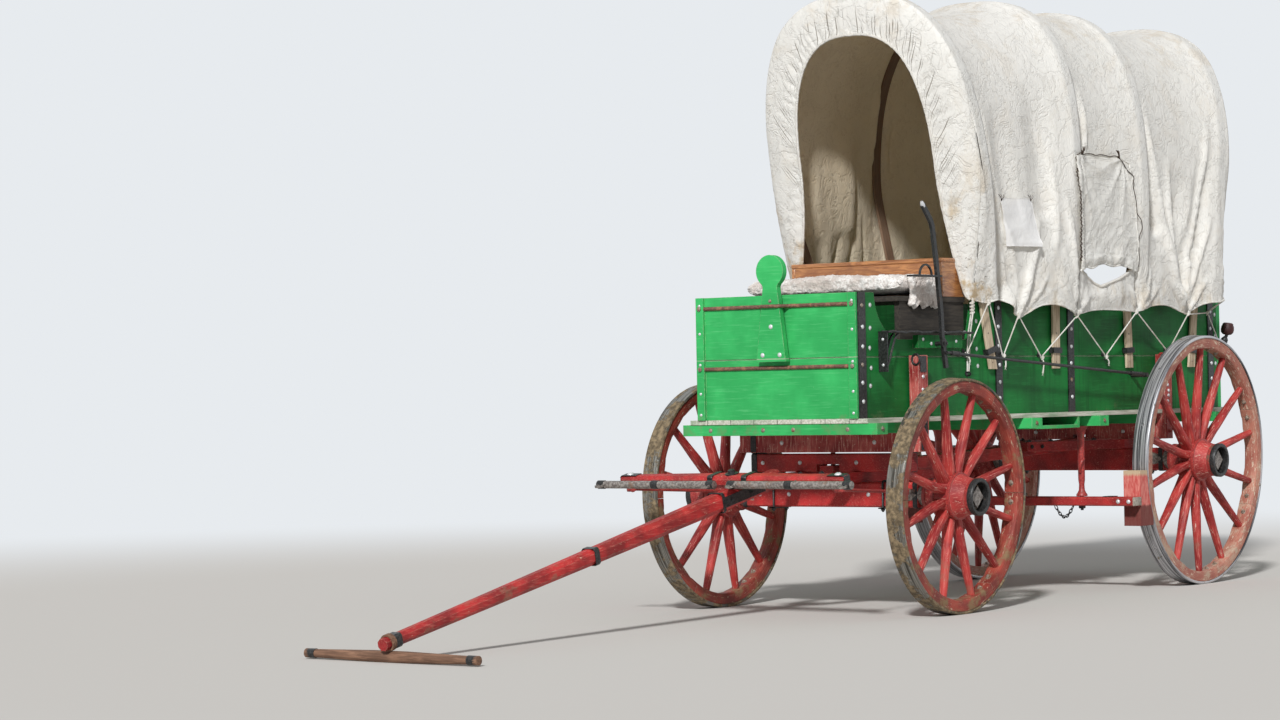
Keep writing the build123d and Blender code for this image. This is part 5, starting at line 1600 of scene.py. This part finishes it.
def bowPath(crown):
    # the outer face of a bow across the wagon, as (across, up), from the right foot to the left one
    look, cover = bowLook, coverLook
    outer = look["footHalf"] + look["thick"]
    half = [(outer, look["foot"] + 0.02 * step) for step in range(21)]
    half += [(outer + (look["half"] - outer) * step / 30,
              look["knee"] + (cover["shoulder"] - look["knee"]) * step / 30) for step in range(1, 30)]
    for step in range(48):
        angle = math.pi / 2 * step / 48
        power = 2 / cover["squareness"]
        half.append((look["half"] * math.cos(angle) ** power,
                     cover["shoulder"] + (crown - cover["shoulder"]) * math.sin(angle) ** power))
    points = [(-across, up) for across, up in half] + [(0, crown)] + half[::-1]
    smooth = list(points)
    for turn in range(12):
        smooth = [smooth[0]] + [tuple((a + 2 * b + c) / 4 for a, b, c in zip(*trio))
                                for trio in zip(smooth, smooth[1:], smooth[2:])] + [smooth[-1]]
    return smooth


def makeBow(number, station, lean, crown):
    look = bowLook
    path = bowPath(crown)
    slope = math.tan(math.radians(lean))
    shape = Shape()
    rings, grain, run = [], [], 0.0
    for index, (across, up) in enumerate(path):
        before, after = path[max(0, index - 1)], path[min(len(path) - 1, index + 1)]
        along = Vector((after[0] - before[0], after[1] - before[1])).normalized()
        inwards = Vector((along[1], -along[0]))
        if index:
            run += math.dist(path[index - 1], path[index])
        ring = []
        wide, deep, edge = look["width"] / 2, look["thick"], 0.0025
        for w, t in ((-wide, edge), (-wide, deep - edge), (-wide + edge, deep), (wide - edge, deep),
                     (wide, deep - edge), (wide, edge), (wide - edge, 0), (-wide + edge, 0)):
            place = Vector((across, up)) + inwards * t
            ring.append((station + slope * (place[1] - look["foot"]) + w, place[0], place[1]))
            grain.append((run, w, t))
        rings.append(ring)
    shape.loft(rings, None, 0, True, False, True, grain)
    # a nail at each foot and a second bolt hole, worn open
    for side in (1, -1):
        outer = look["footHalf"] + look["thick"]
        for up, radius in ((1.235, 0.005), (1.385, 0.006)):
            x = station + slope * (up - look["foot"]) + 0.004
            shape.bolt(outFrom(x, outer, up, side), radius, 0.0022, 1)
    makePiece("bowDressed_%d" % number, shape, [bowWood, rustyBolt], "root", ["bow_%d" % number],
              40)


# the dark zone from 1.62 m up is painted shade under the cover
bowWood = bareWood("bowWood", {
    "light": (0.68, 0.57, 0.42), "dark": (0.42, 0.32, 0.21), "stain": (0.28, 0.20, 0.13),
    "gap": (0.10, 0.07, 0.045), "zones": ((1.62, 1.82, (0.13, 0.060, 0.030)),), "scale": 5})
for number, (station, lean, crown) in enumerate(coverLook["bows"], start=1):
    makeBow(number, station, lean, crown)
print("bows bent")

# Seat: a sheepskin on the board, its end hanging over the left side, before a plank chest
seatLook = {"front": 0.090, "rear": -0.325, "half": 0.459, "low": 1.5685, "top": 1.700, "curl": 0.010,
            "rows": 150, "sides": 128, "endRows": 60, "endColumns": 90}


def woolLift(spot, amount):
    # curls of wool, round lumps with deep gaps between them
    near = noise.voronoi(Vector(spot) * 34)[0]
    small = noise.voronoi(Vector(spot) * 85 + Vector((3, 5, 7)))[0]
    lump = max(0.0, 1 - near[0] * 1.5) ** 0.7
    return amount * lump + amount * 0.45 * max(0.0, 1 - small[0] * 1.6)


def makeFleece():
    look = seatLook
    shape = Shape()
    middleX, halfX = (look["front"] + look["rear"]) / 2, (look["front"] - look["rear"]) / 2
    middleZ, halfZ = (look["top"] + look["low"]) / 2, (look["top"] - look["low"]) / 2
    rings = []
    for row in range(look["rows"] + 1):
        t = -1 + 2 * row / look["rows"]
        y = look["half"] * math.sin(t * math.pi / 2 * 0.985)
        end = (1 - abs(math.sin(t * math.pi / 2 * 0.985)) ** 5) ** 0.4
        ring = []
        for a in around(look["sides"]):
            c, s = math.cos(a), math.sin(a)
            x = middleX + (halfX - 0.012) * math.copysign(abs(c) ** 0.42, c) * (0.90 + 0.10 * end)
            rise = (halfZ - 0.014) * math.copysign(abs(s) ** 0.5, s)
            # hollowed where it is sat on, heaped in between
            hollows = math.exp(-((y - 0.22) / 0.15) ** 2) + math.exp(-((y + 0.22) / 0.15) ** 2)
            seatDip = 0.018 * hollows if s > 0 else 0
            z = middleZ + rise * (0.45 + 0.55 * end) - seatDip * max(0.0, s) - (1 - end) * 0.02 * (s > 0)
            point = Vector((x, y, z))
            out = Vector((c * abs(c), (0.9 if t > 0 else -0.9) * abs(t) ** 8, s * abs(s))).normalized()
            lift = woolLift(point, look["curl"]) * (1.0 if s > -0.5 else 0.1)
            lift += 0.006 * noise.noise(point * 9)
            point += out * lift
            point.x = min(look["front"] - 0.0005, max(look["rear"] + 0.0015, point.x))
            point.z = max(look["low"] + 0.0005, point.z)
            ring.append(point)
        rings.append(ring)
    shape.loft(rings, None, 0, True)
    hangEnd(shape, look["endRows"], look["endColumns"])
    fleece = makePiece("fleecePad", shape, [woolSkin], "root", ["seat_cushion"], 180)
    print("fleece: faces", len(shape.faces))


def hangEnd(shape, rows, columns):
    # the end that hangs down outside the board
    grid = {}
    for side in (0, 1):
        for row in range(rows + 1):
            down = row / rows
            for column in range(columns + 1):
                share = column / columns
                hem = 0.010 * math.sin(share * 17) + 0.006 * math.sin(share * 41)
                x = -0.268 + 0.262 * share + 0.012 * math.sin(down * 6 + 1)
                z = 1.675 - (0.158 + hem) * down
                edge = min(1.0, min(share, 1 - share) / 0.07, (1 - down) / 0.08 + 0.001) ** 0.5
                y = 0.4635 + (0.022 * edge if side else 0.0)
                spot = Vector((x, y, z))
                if side:
                    y += (woolLift(spot, 0.008) + 0.004 * noise.noise(spot * 12)) * edge
                grid[side, row, column] = (x, y, z)
    wide = columns + 1
    points = [grid[side, row, column] for side in (0, 1) for row in range(rows + 1) for column in range(wide)]
    size = (rows + 1) * wide
    faces = []
    for row in range(rows):
        for column in range(columns):
            a, b = row * wide + column, (row + 1) * wide + column
            faces += [(a, a + 1, b + 1, b), (size + a, size + b, size + b + 1, size + a + 1)]
    border = [*range(wide)] + [row * wide + columns for row in range(1, rows + 1)]
    border += [rows * wide + column for column in range(columns - 1, -1, -1)]
    border += [row * wide for row in range(rows - 1, 0, -1)]
    for a, b in zip(border, border[1:] + border[:1]):
        faces.append((a, size + a, size + b, b))
    shape.add(points, faces)


def woolShader(name):
    shader = Shader(name)
    spot = shader.place((1, 1, 1), False)
    curls = shader.node("TexVoronoi", {"feature": "SMOOTH_F1"},
                        {"Vector": spot, "Scale": 95.0, "Smoothness": 0.6})
    hairs = shader.noise(spot, 320, 4, 0.7, 2.0)
    broad = shader.noise(spot, 8, 5, 0.65)
    colour = shader.mix(shader.ease(broad, 0.38, 0.66), (0.62, 0.55, 0.50), (0.92, 0.90, 0.87))
    colour = shader.mix(shader.ease(curls, 0.35, 0.75) * 0.55, colour, (0.44, 0.36, 0.32))
    colour = shader.mix(shader.ease(hairs, 0.55, 0.35) * 0.25, colour, (0.60, 0.53, 0.48))
    return shader.surface({"Base Color": colour, "Roughness": 0.95, "Sheen Weight": 0.4,
                           "Specular IOR Level": 0.15,
                           "Normal": shader.bump(hairs * 0.5 - curls * 0.8, 0.9, 0.004)})


woolSkin = woolShader("woolSkin")
makeFleece()

# Chest of varnished planks: ends let in, a lid with a small overhang, screws and a front joint
chestLook = {"front": -0.327, "rear": -0.537, "half": 0.462, "low": 1.5673, "top": 1.764, "lid": 0.022,
             "plank": 0.019}


def makeChest():
    look = chestLook
    shape = Shape()
    length = look["front"] - look["rear"]
    middle = (look["front"] + look["rear"]) / 2
    wall = look["top"] - look["lid"] - look["low"]
    across = Matrix.Rotation(math.pi / 2, 4, "Z")
    shape.board((2 * look["half"], length, look["lid"]),
                Matrix.Translation((middle, 0, look["top"] - look["lid"] / 2)) @ across, 0, 0.004)
    for side in (1, -1):
        # end boards, their grain upright
        place = Matrix.Translation((middle, side * (look["half"] - 0.003 - look["plank"] / 2),
                                    look["low"] + wall / 2))
        shape.board((length - 0.008, look["plank"], wall), place, 0, 0.002)
    for x in (look["front"] - 0.003 - look["plank"] / 2, look["rear"] + 0.003 + look["plank"] / 2):
        for low, high in ((0.0, wall * 0.52), (wall * 0.52 + 0.0015, wall)):
            place = Matrix.Translation((x, 0, look["low"] + (low + high) / 2)) @ across
            shape.board((2 * (look["half"] - 0.004 - look["plank"]), look["plank"], high - low), place, 0,
                        0.002)
    for side in (1, -1):
        for x in (look["front"] - 0.014, look["rear"] + 0.014):
            for z in (0.02, wall / 2, wall - 0.02):
                place = outFrom(x, look["half"] - 0.003, look["low"] + z, side)
                shape.bolt(place, 0.0045, 0.0012, 1)
    for y in (-0.30, 0.30):
        place = frameAt((look["rear"] + 0.001, y, look["top"] - look["lid"]), (0, 1, 0))
        shape.lathe([(-0.03, 0.003), (-0.03, 0.0045), (0.03, 0.0045), (0.03, 0.003)], place, 2, 12, False)
    makePiece("chestDressed", shape, [chestEnd, rustyBolt, blackIron], "root", ["seat_chest"],
              40)


chestEnd = bareWood("chestEnd", {
    "light": (0.50, 0.22, 0.075), "dark": (0.24, 0.085, 0.028), "stain": (0.17, 0.065, 0.022),
    "gap": (0.05, 0.02, 0.01), "along": (1.0, 8, 8), "twist": 1.8, "scale": 5.5, "rough": 0.32, "coat": 0.55})
makeChest()
print("seat made")

# Bolts, rods and irons on the box
boxLook = {"straps": (0.449, -0.826, -1.570, -3.172),
           "strapBolts": (1.515, 1.415, 1.318, 1.225, 1.137, 1.050),
           "screwColumns": ((0.370, (1.518, 1.406, 1.309, 1.212, 1.125)),
                            (-0.620, (1.446, 1.304, 1.217, 1.060)),
                            (-3.235, (1.50, 1.38, 1.22, 1.08))),
           "rodHeights": (1.525, 1.223), "rod": 0.0096, "ends": ((1, 0.480), (-1, -3.286)),
           # the staple of the upper rod over the post, as (along, across)
           "staple": ((0.4865, -0.115), (0.4880, -0.085), (0.512, -0.068), (0.5345, -0.046), (0.5365, 0),
                      (0.5345, 0.046), (0.512, 0.068), (0.4880, 0.085), (0.4865, 0.115))}


def makeBoxIrons():
    look = boxLook
    pale, rusty = Shape(), Shape()
    for side in (1, -1):
        into = (0, -side, 0)
        for number, x in enumerate(look["straps"]):
            for index, z in enumerate(look["strapBolts"]):
                shift = 0.004 * math.sin(number * 3 + index * 5)
                target = rusty if (number, index) in ((0, 0), (0, 3), (2, 4)) else pale
                studs(target, boxSkin, [(x + shift, side * 0.486, z + shift)], into, 0.0115, 0.0065)
        for x, heights in look["screwColumns"]:
            studs(pale, boxSkin, [(x + 0.005 * math.sin(z * 40), side * 0.478, z) for z in heights], into,
                  0.0075, 0.004, 0, "dome", 0.011)
        steps = ((-0.060, 1.352), (-0.137, 1.330), (-0.370, 1.342))
        studs(pale, boxSkin, [(x, side * 0.51, z) for x, z in steps], into, 0.010, 0.005)
        studs(rusty, boxSkin, [(x, side * 0.58, 0.918) for x in (0.432, -1.030, -1.745, -3.080)], into, 0.013,
              0.006, 0, "square")
    # front board and tailgate: cleats, post, sill
    for face, end in look["ends"]:
        into = (-face, 0, 0)
        for side in (1, -1):
            cleats = [(end + face * 0.014, side * 0.456, z) for z in (1.54, 1.40, 1.245, 1.10, 0.995)]
            studs(pale, boxSkin, cleats, into, 0.008, 0.004)
            studs(rusty, boxSkin, [(end, side * y, 0.917) for y in (0.41, 0.09)], into, 0.012, 0.006)
    studs(rusty, boxSkin, [(0.53, 0.0, 1.550)], (-1, 0, 0), 0.010, 0.005)
    studs(pale, boxSkin, [(0.53, 0.002, 1.424), (0.53, -0.050, 1.285), (0.53, 0.052, 1.285)], (-1, 0, 0),
          0.0125, 0.006)
    makePiece("boxBolts", pale, [paleBolt], "root", (), 40)
    # rusty rods across both ends
    for face, end in look["ends"]:
        axis = end + face * 0.0045
        for z in look["rodHeights"]:
            rusty.tube([(axis, y, z) for y in (-0.4325, -0.2, 0.2, 0.4325)], look["rod"], 1, 14)
            for side in (1, -1):
                rusty.bolt(frameAt((axis + face * 0.010, side * 0.456, z), (face, 0, 0)), 0.012, 0.007, 0,
                           "hex")
    over = [(x, y, look["rodHeights"][0]) for x, y in look["staple"]]
    rusty.tube(smoothPath(over, 5), 0.0085, 1, 12)
    makePiece("boxRods", rusty, [rustyBolt, rustRod], "root", (), 40)


paleBolt = ironwork("paleBolt", {
    "light": (0.78, 0.79, 0.80), "dark": (0.50, 0.51, 0.52), "rust": (0.34, 0.24, 0.16), "rustFrom": 0.66,
    "metal": 0.35, "rough": 0.38, "skin": 300, "patch": 40})
rustRod = ironwork("rustRod", {
    "light": (0.24, 0.12, 0.085), "dark": (0.10, 0.045, 0.035), "rust": (0.30, 0.15, 0.09), "rustFrom": 0.5,
    "metal": 0.25, "rough": 0.55, "skin": 240, "patch": 22})
makeBoxIrons()


def makeStepIrons():
    # diagonal braces, rolled edges and bolts on the side steps
    for name, side in (("left", 1), ("right", -1)):
        shape = Shape()
        for y in (0.492, 0.520):
            shape.tube(smoothPath([(0.185, side * y, 1.378), (0.215, side * y, 1.350),
                                   (0.262, side * y, 1.255), (0.289, side * y, 1.215)], 4), 0.0055, 0, 8)
        shape.tube([(x, side * 0.530, 1.3865 + 0.0025 * math.sin(x * 31) + 0.0015 * math.sin(x * 83))
                    for x in [0.29 - 0.7865 * step / 70 for step in range(71)]], 0.0062, 0, 8)
        shape.tube([(x, side * 0.4835, 1.3905) for x in (0.27, 0.0, -0.25, -0.49)], 0.004, 0, 6)
        for x in (0.20, -0.02, -0.26, -0.46):
            shape.bolt(frameAt((x, side * 0.505, 1.390), (0, 0, 1)), 0.010, 0.005, 1)
        for z in (1.35, 1.225):
            shape.bolt(frameAt((0.298, side * 0.505, z), (1, 0, 0)), 0.008, 0.005, 1)
        makePiece("stepIrons_" + name, shape, [blackIron, paleBolt], "root", (), 40)


makeStepIrons()
print("box irons set")

# Irons of the running gear, brake and tongue
gearLook = {
    "front": {"x": 0.0, "axle": (0.5217, 0.6457), "bolster": (0.796, 0.890), "clips": 0.33},
    "rear": {"x": -2.538, "axle": (0.6277, 0.7517), "bolster": (0.8037, 0.890), "clips": 0.405},
    "stakeBolts": (1.166, 1.102, 1.070, 1.044, 1.012), "tongueLean": 11.83, "hanger": (-1.715, 0.45),
}
tongueTurn = Matrix.Rotation(math.radians(gearLook["tongueLean"]), 4, "Y")
tongueFrame = Matrix.Translation((0.560, 0, 0.6717)) @ tongueTurn


def hoop(shape, centre, deep, high, wide, finish=0, place=None):
    # a flat hoop round a beam that lies across the wagon
    place = place or Matrix()
    middle, a, b, e = place @ Vector(centre), deep / 2 + 0.0018, high / 2 + 0.0018, 0.008
    corners = ((a, e - b), (a, b - e), (a - e, b), (e - a, b), (-a, b - e), (-a, e - b), (e - a, -b),
               (a - e, -b))
    flatBar(shape, [place @ (Vector(centre) + Vector((x, 0, z))) for x, z in corners], wide, 0.0035,
            lambda point: point - middle, finish, True)


def clipOver(shape, x, y, low, high):
    # a round clip over a beam, its ends through a plate below and drawn up by nuts
    a = 0.0568
    shape.tube([(x + a, y, low - 0.022), (x + a, y, high - 0.002), (x + a - 0.008, y, high + 0.0065),
                (x - a + 0.008, y, high + 0.0065), (x - a, y, high - 0.002), (x - a, y, low - 0.022)], 0.006,
                0, 8)
    shape.board((0.145, 0.042, 0.007), Matrix.Translation((x, y, low - 0.0035)))
    for end in (a, -a):
        shape.bolt(frameAt((x + end, y, low - 0.007), (0, 0, -1)), 0.011, 0.009, 0, "square")


def makeStakeIrons(shape, x, side, finish):
    # a strap over the stake's top, an eye on it, and bolts down its face
    middle = Vector((x, side * 0.517, 1.22))
    strap = [(x, side * 0.4885, 1.215), (x, side * 0.4885, 1.266), (x, side * 0.500, 1.2735),
             (x, side * 0.534, 1.2735), (x, side * 0.5457, 1.266), (x, side * 0.5457, 1.190)]
    flatBar(shape, strap, 0.056, 0.0035, lambda point: point - middle, finish)
    ring = [(x + 0.046, side * (0.532 + 0.022 * math.cos(a)), 1.252 + 0.026 * math.sin(a))
            for a in around(16)]
    shape.tube(ring, 0.0055, finish, 8, True)
    for number, z in enumerate(gearLook["stakeBolts"]):
        place = outFrom(x + 0.006 * math.sin(number * 2), 0.5438, z, side)
        shape.bolt(place, 0.0105, 0.006, 2)
    flatBar(shape, [(x, side * 0.5455, 0.955), (x, side * 0.5455, 0.805)], 0.06, 0.0035, (0, side, 0), finish)
    for z in (0.935, 0.845):
        shape.bolt(outFrom(x, 0.547, z, side), 0.013, 0.009, finish, "square")


def makeGearIrons():
    look = gearLook
    finishes = [blackIron, redIron, paleBolt]
    gear, body = Shape(), Shape()
    for place, shape, tint in (("front", gear, 0), ("rear", body, 1)):
        spot = look[place]
        x, (low, high), (under, over) = spot["x"], spot["axle"], spot["bolster"]
        for side in (1, -1):
            hoop(shape, (x, side * 0.514, (low + high) / 2), 0.100, high - low, 0.026)
            clipOver(shape, x, side * spot["clips"], low, high)
            hoop(body, (x, side * 0.456, (under + over) / 2), 0.096, over - under, 0.034, tint)
            makeStakeIrons(body, x, side, tint)
    for side in (1, -1):
        hoop(gear, (0, side * 0.452, 0.7433), 0.096, 0.0913, 0.034)
    front = skinOf("front_hounds", "sand_board", "front_axle")
    rear = skinOf("rear_hounds", "reach", "rear_axle", "rear_bolster", "front_bolster")
    for side in (1, -1):
        down, inwards = (0, 0, -1), (0, -side, 0)
        hounds = ((0.60, 0.085), (0.45, 0.109), (0.30, 0.133), (-0.30, 0.235), (-0.51, 0.2875))
        studs(gear, front, [(x, side * y, 0.6977) for x, y in hounds], down, 0.013, 0.008, 0, "square", 0.019)
        studs(gear, front, [(x, side * 0.12, 0.672) for x in (0.56, 0.62)], inwards, 0.016, 0.011, 0, "hex",
              0.024)
        beams = ((0.40, 0.744), (0.17, 0.744), (0.42, 0.585), (0.24, 0.585))
        studs(gear, front, [(0.05, side * y, z) for y, z in beams], (-1, 0, 0), 0.012, 0.007, 2)
        studs(body, rear, [(x, side * (0.066 - (x + 1.76) * 0.33), 0.80) for x in (-1.80, -1.95, -2.25)],
              down, 0.013, 0.008, 0, "square", 0.019)
        studs(body, rear, [(-1.79, side * 0.12, 0.778), (-1.86, side * 0.14, 0.778)], inwards, 0.012, 0.008,
              0, "hex")
        studs(body, rear, [(x, side * 0.28, 0.845) for x in (0.05, -2.488)], (-1, 0, 0), 0.012, 0.007, 2)
    makePiece("gearIrons", gear, finishes, "front_gear", (), 40)
    makePiece("bodyIrons", body, finishes, "root", (), 40)


def makeTongueIrons():
    shape = Shape()
    place = tongueFrame
    for side in (1, -1):
        # clevis plates and bolts of the doubletree's ends, hoops nearer its middle
        centre = place @ Vector((0.300, side * 0.55, 0.075))
        clevis = [(0.300, side * y, 0.075 + z) for y, z in (
            (0.565, 0.0268), (0.654, 0.0268), (0.662, 0.020), (0.662, -0.020), (0.654, -0.0268),
            (0.565, -0.0268))]
        flatBar(shape, [place @ Vector(spot) for spot in clevis], 0.048, 0.004, lambda point: point - centre,
                0)
        shape.bolt(place @ frameAt((0.300, side * 0.615, 0.1035), (0, 0, 1)), 0.018, 0.0095, 1)
        hoop(shape, (0.300, side * 0.10, 0.075), 0.094, 0.0594, 0.030, 0, place)
        for share in (-1, 0, 1):
            shape.lathe([(-0.02, 0.0185), (-0.02, 0.0212), (0.02, 0.0212), (0.02, 0.0185)],
                        place @ frameAt((0.396, side * (0.395 + share * 0.332), 0.075), (0, 1, 0)), 0, 18)
        # plates along the pole in front of the hounds
        plate = [place @ Vector((x, side * 0.0442, 0)) for x in (0.108, 0.28, 0.452)]
        flatBar(shape, plate, 0.052, 0.0045, (0, side, 0), 0)
        for x in (0.135, 0.225, 0.385, 0.432):
            shape.bolt(place @ outFrom(x, 0.0463, 0, side), 0.0105, 0.007, 0, "square")
        shape.lathe([(-0.024, 0.0178), (-0.024, 0.0208), (0.024, 0.0200), (0.024, 0.0170)],
                    place @ outFrom(2.860, 0.452, -0.0616, side), 0, 18)
    shape.lathe([(-0.001, 0.034), (0.005, 0.034), (0.006, 0.031), (0.006, 0.018), (0.020, 0.017),
                 (0.024, 0.010)], place @ frameAt((0.300, 0, 0.105), (0, 0, 1)), 0, 24)
    turned = Matrix.Rotation(math.pi / 2, 4, "Z")
    for x, deep, high, wide in ((0.452, 0.0845, 0.0905, 0.020), (1.45, 0.071, 0.0745, 0.034),
                                (2.825, 0.053, 0.053, 0.040)):
        hoop(shape, (0, 0, 0), deep, high, wide, 0, place @ Matrix.Translation((x, 0, 0)) @ turned)
    makePiece("tongueIrons", shape, [blackIron, paleBolt], "tongue", (), 40)


def makeBrakeIrons():
    shape = Shape()
    x, y = gearLook["hanger"]
    for side in (1, -1):
        # each hanger flares out under the floor and stands on a flange
        shape.lathe([(0.513, 0.030), (0.522, 0.030), (0.530, 0.024), (0.545, 0.0165), (0.575, 0.0145),
                     (0.600, 0.018), (0.640, 0.0185), (0.760, 0.0185), (0.835, 0.020), (0.868, 0.027),
                     (0.880, 0.036), (0.8895, 0.036)], frameAt((x, side * y, 0), (0, 0, 1)), 0, 20)
        curl = [(x + 0.020, side * (y + 0.004), 0.640), (x + 0.034, side * (y + 0.010), 0.668),
                (x + 0.030, side * (y + 0.020), 0.700), (x + 0.012, side * (y + 0.022), 0.716)]
        shape.tube(smoothPath(curl, 5), 0.008, 0, 8)
        shape.bolt(frameAt((x, side * y, 0.463), (0, 0, -1)), 0.019, 0.016, 2, "square")
        # the beam's weathered end, its bolts and the strap over the block
        shape.board((0.007, 0.086, 0.045), frameAt((x, side * 0.7825, 0.486), (0, side, 0), (1, 0, 0)), 3,
                    0.001)
        for along in (0.693, 0.755):
            shape.bolt(frameAt((-1.671, side * along, 0.486), (1, 0, 0)), 0.0125, 0.008, 1)
        flatBar(shape, [(x + 0.035, side * 0.62, 0.512), (x - 0.040, side * 0.62, 0.512)], 0.05, 0.004,
                (0, 0, 1), 2)
        # a loop of chain that hangs from the beam
        hang = [Vector((-1.690, side * (0.30 + 0.11 * step / 10),
                        0.4605 - 0.060 * math.sin(step / 10 * math.pi)))
                for step in range(11)]
        for step, (spot, after) in enumerate(zip(hang, hang[1:])):
            link = frameAt((spot + after) / 2, after - spot, (1, 0, 0))
            half = (after - spot).length / 2 + 0.0036
            ring = [(half * math.cos(a),
                     *((0.0075 * math.sin(a), 0) if step % 2 else (0, 0.0075 * math.sin(a))))
                    for a in around(14)]
            shape.tube([link @ Vector(point) for point in ring], 0.0026, 2, 6, True)
    makePiece("brakeIrons", shape, [redIron, paleBolt, blackIron, endGrain], "root", (), 40)
    lever = Shape()
    grip = [(-0.022, 0.550, 2.004), (-0.0165, 0.550, 2.016), (-0.008, 0.550, 2.030)]
    lever.tube(grip, 0.011, 1, 10, False, [0.0105, 0.012, 0.008])
    lever.lathe([(0, 0.024), (0.004, 0.024), (0.005, 0.020)], frameAt((-0.176, 0.558, 1.330), (0, 1, 0)), 0,
                18)
    lever.bolt(frameAt((-0.176, 0.562, 1.330), (0, 1, 0)), 0.015, 0.011, 0, "square")
    # sleeves and jam nuts at both ends of the rod
    start, end = Vector((-0.186, 0.566, 1.284)), Vector((-2.240, 0.566, 1.159))
    along = (end - start).normalized()
    for share, half in ((0.035, 0.030), (0.945, 0.060)):
        spot = start + (end - start) * share
        place = frameAt(spot, along)
        lever.lathe([(-half, 0.0085), (-half, 0.0125), (half, 0.0135), (half, 0.0085)], place, 0, 14)
        lever.lathe([(half, 0.008), (half, 0.016), (half + 0.012, 0.016), (half + 0.012, 0.008)], place, 0, 6)
    makePiece("leverIrons", lever, [blackIron, paleBolt], "root", (), 40)
    # the dark knob on its bent iron at the rear left corner
    knob = Shape()
    bent = [(-3.262, 0.4785, 1.318), (-3.285, 0.492, 1.328), (-3.296, 0.508, 1.350), (-3.300, 0.524, 1.386)]
    knob.tube(smoothPath(bent, 5), 0.0095, 1, 10)
    knob.lathe([(-0.024, 0.004), (-0.020, 0.014), (-0.008, 0.0205), (0.008, 0.0205), (0.020, 0.013),
                (0.026, 0.008)], frameAt((-3.296, 0.508, 1.350), (-0.05, 0.35, 1)), 1, 18)
    knob.lathe([(-0.034, 0.010), (-0.031, 0.024), (-0.020, 0.035), (-0.004, 0.038), (0.014, 0.036),
                (0.024, 0.031), (0.031, 0.030), (0.036, 0.022), (0.037, 0.006)],
               frameAt((-3.300, 0.528, 1.416), (-0.05, 0.12, 1)), 0, 24)
    makePiece("cornerKnob", knob, [knobPaint, blackIron], "root", (), 40)


makeGearIrons()
makeTongueIrons()
makeBrakeIrons()
print("running gear irons set")
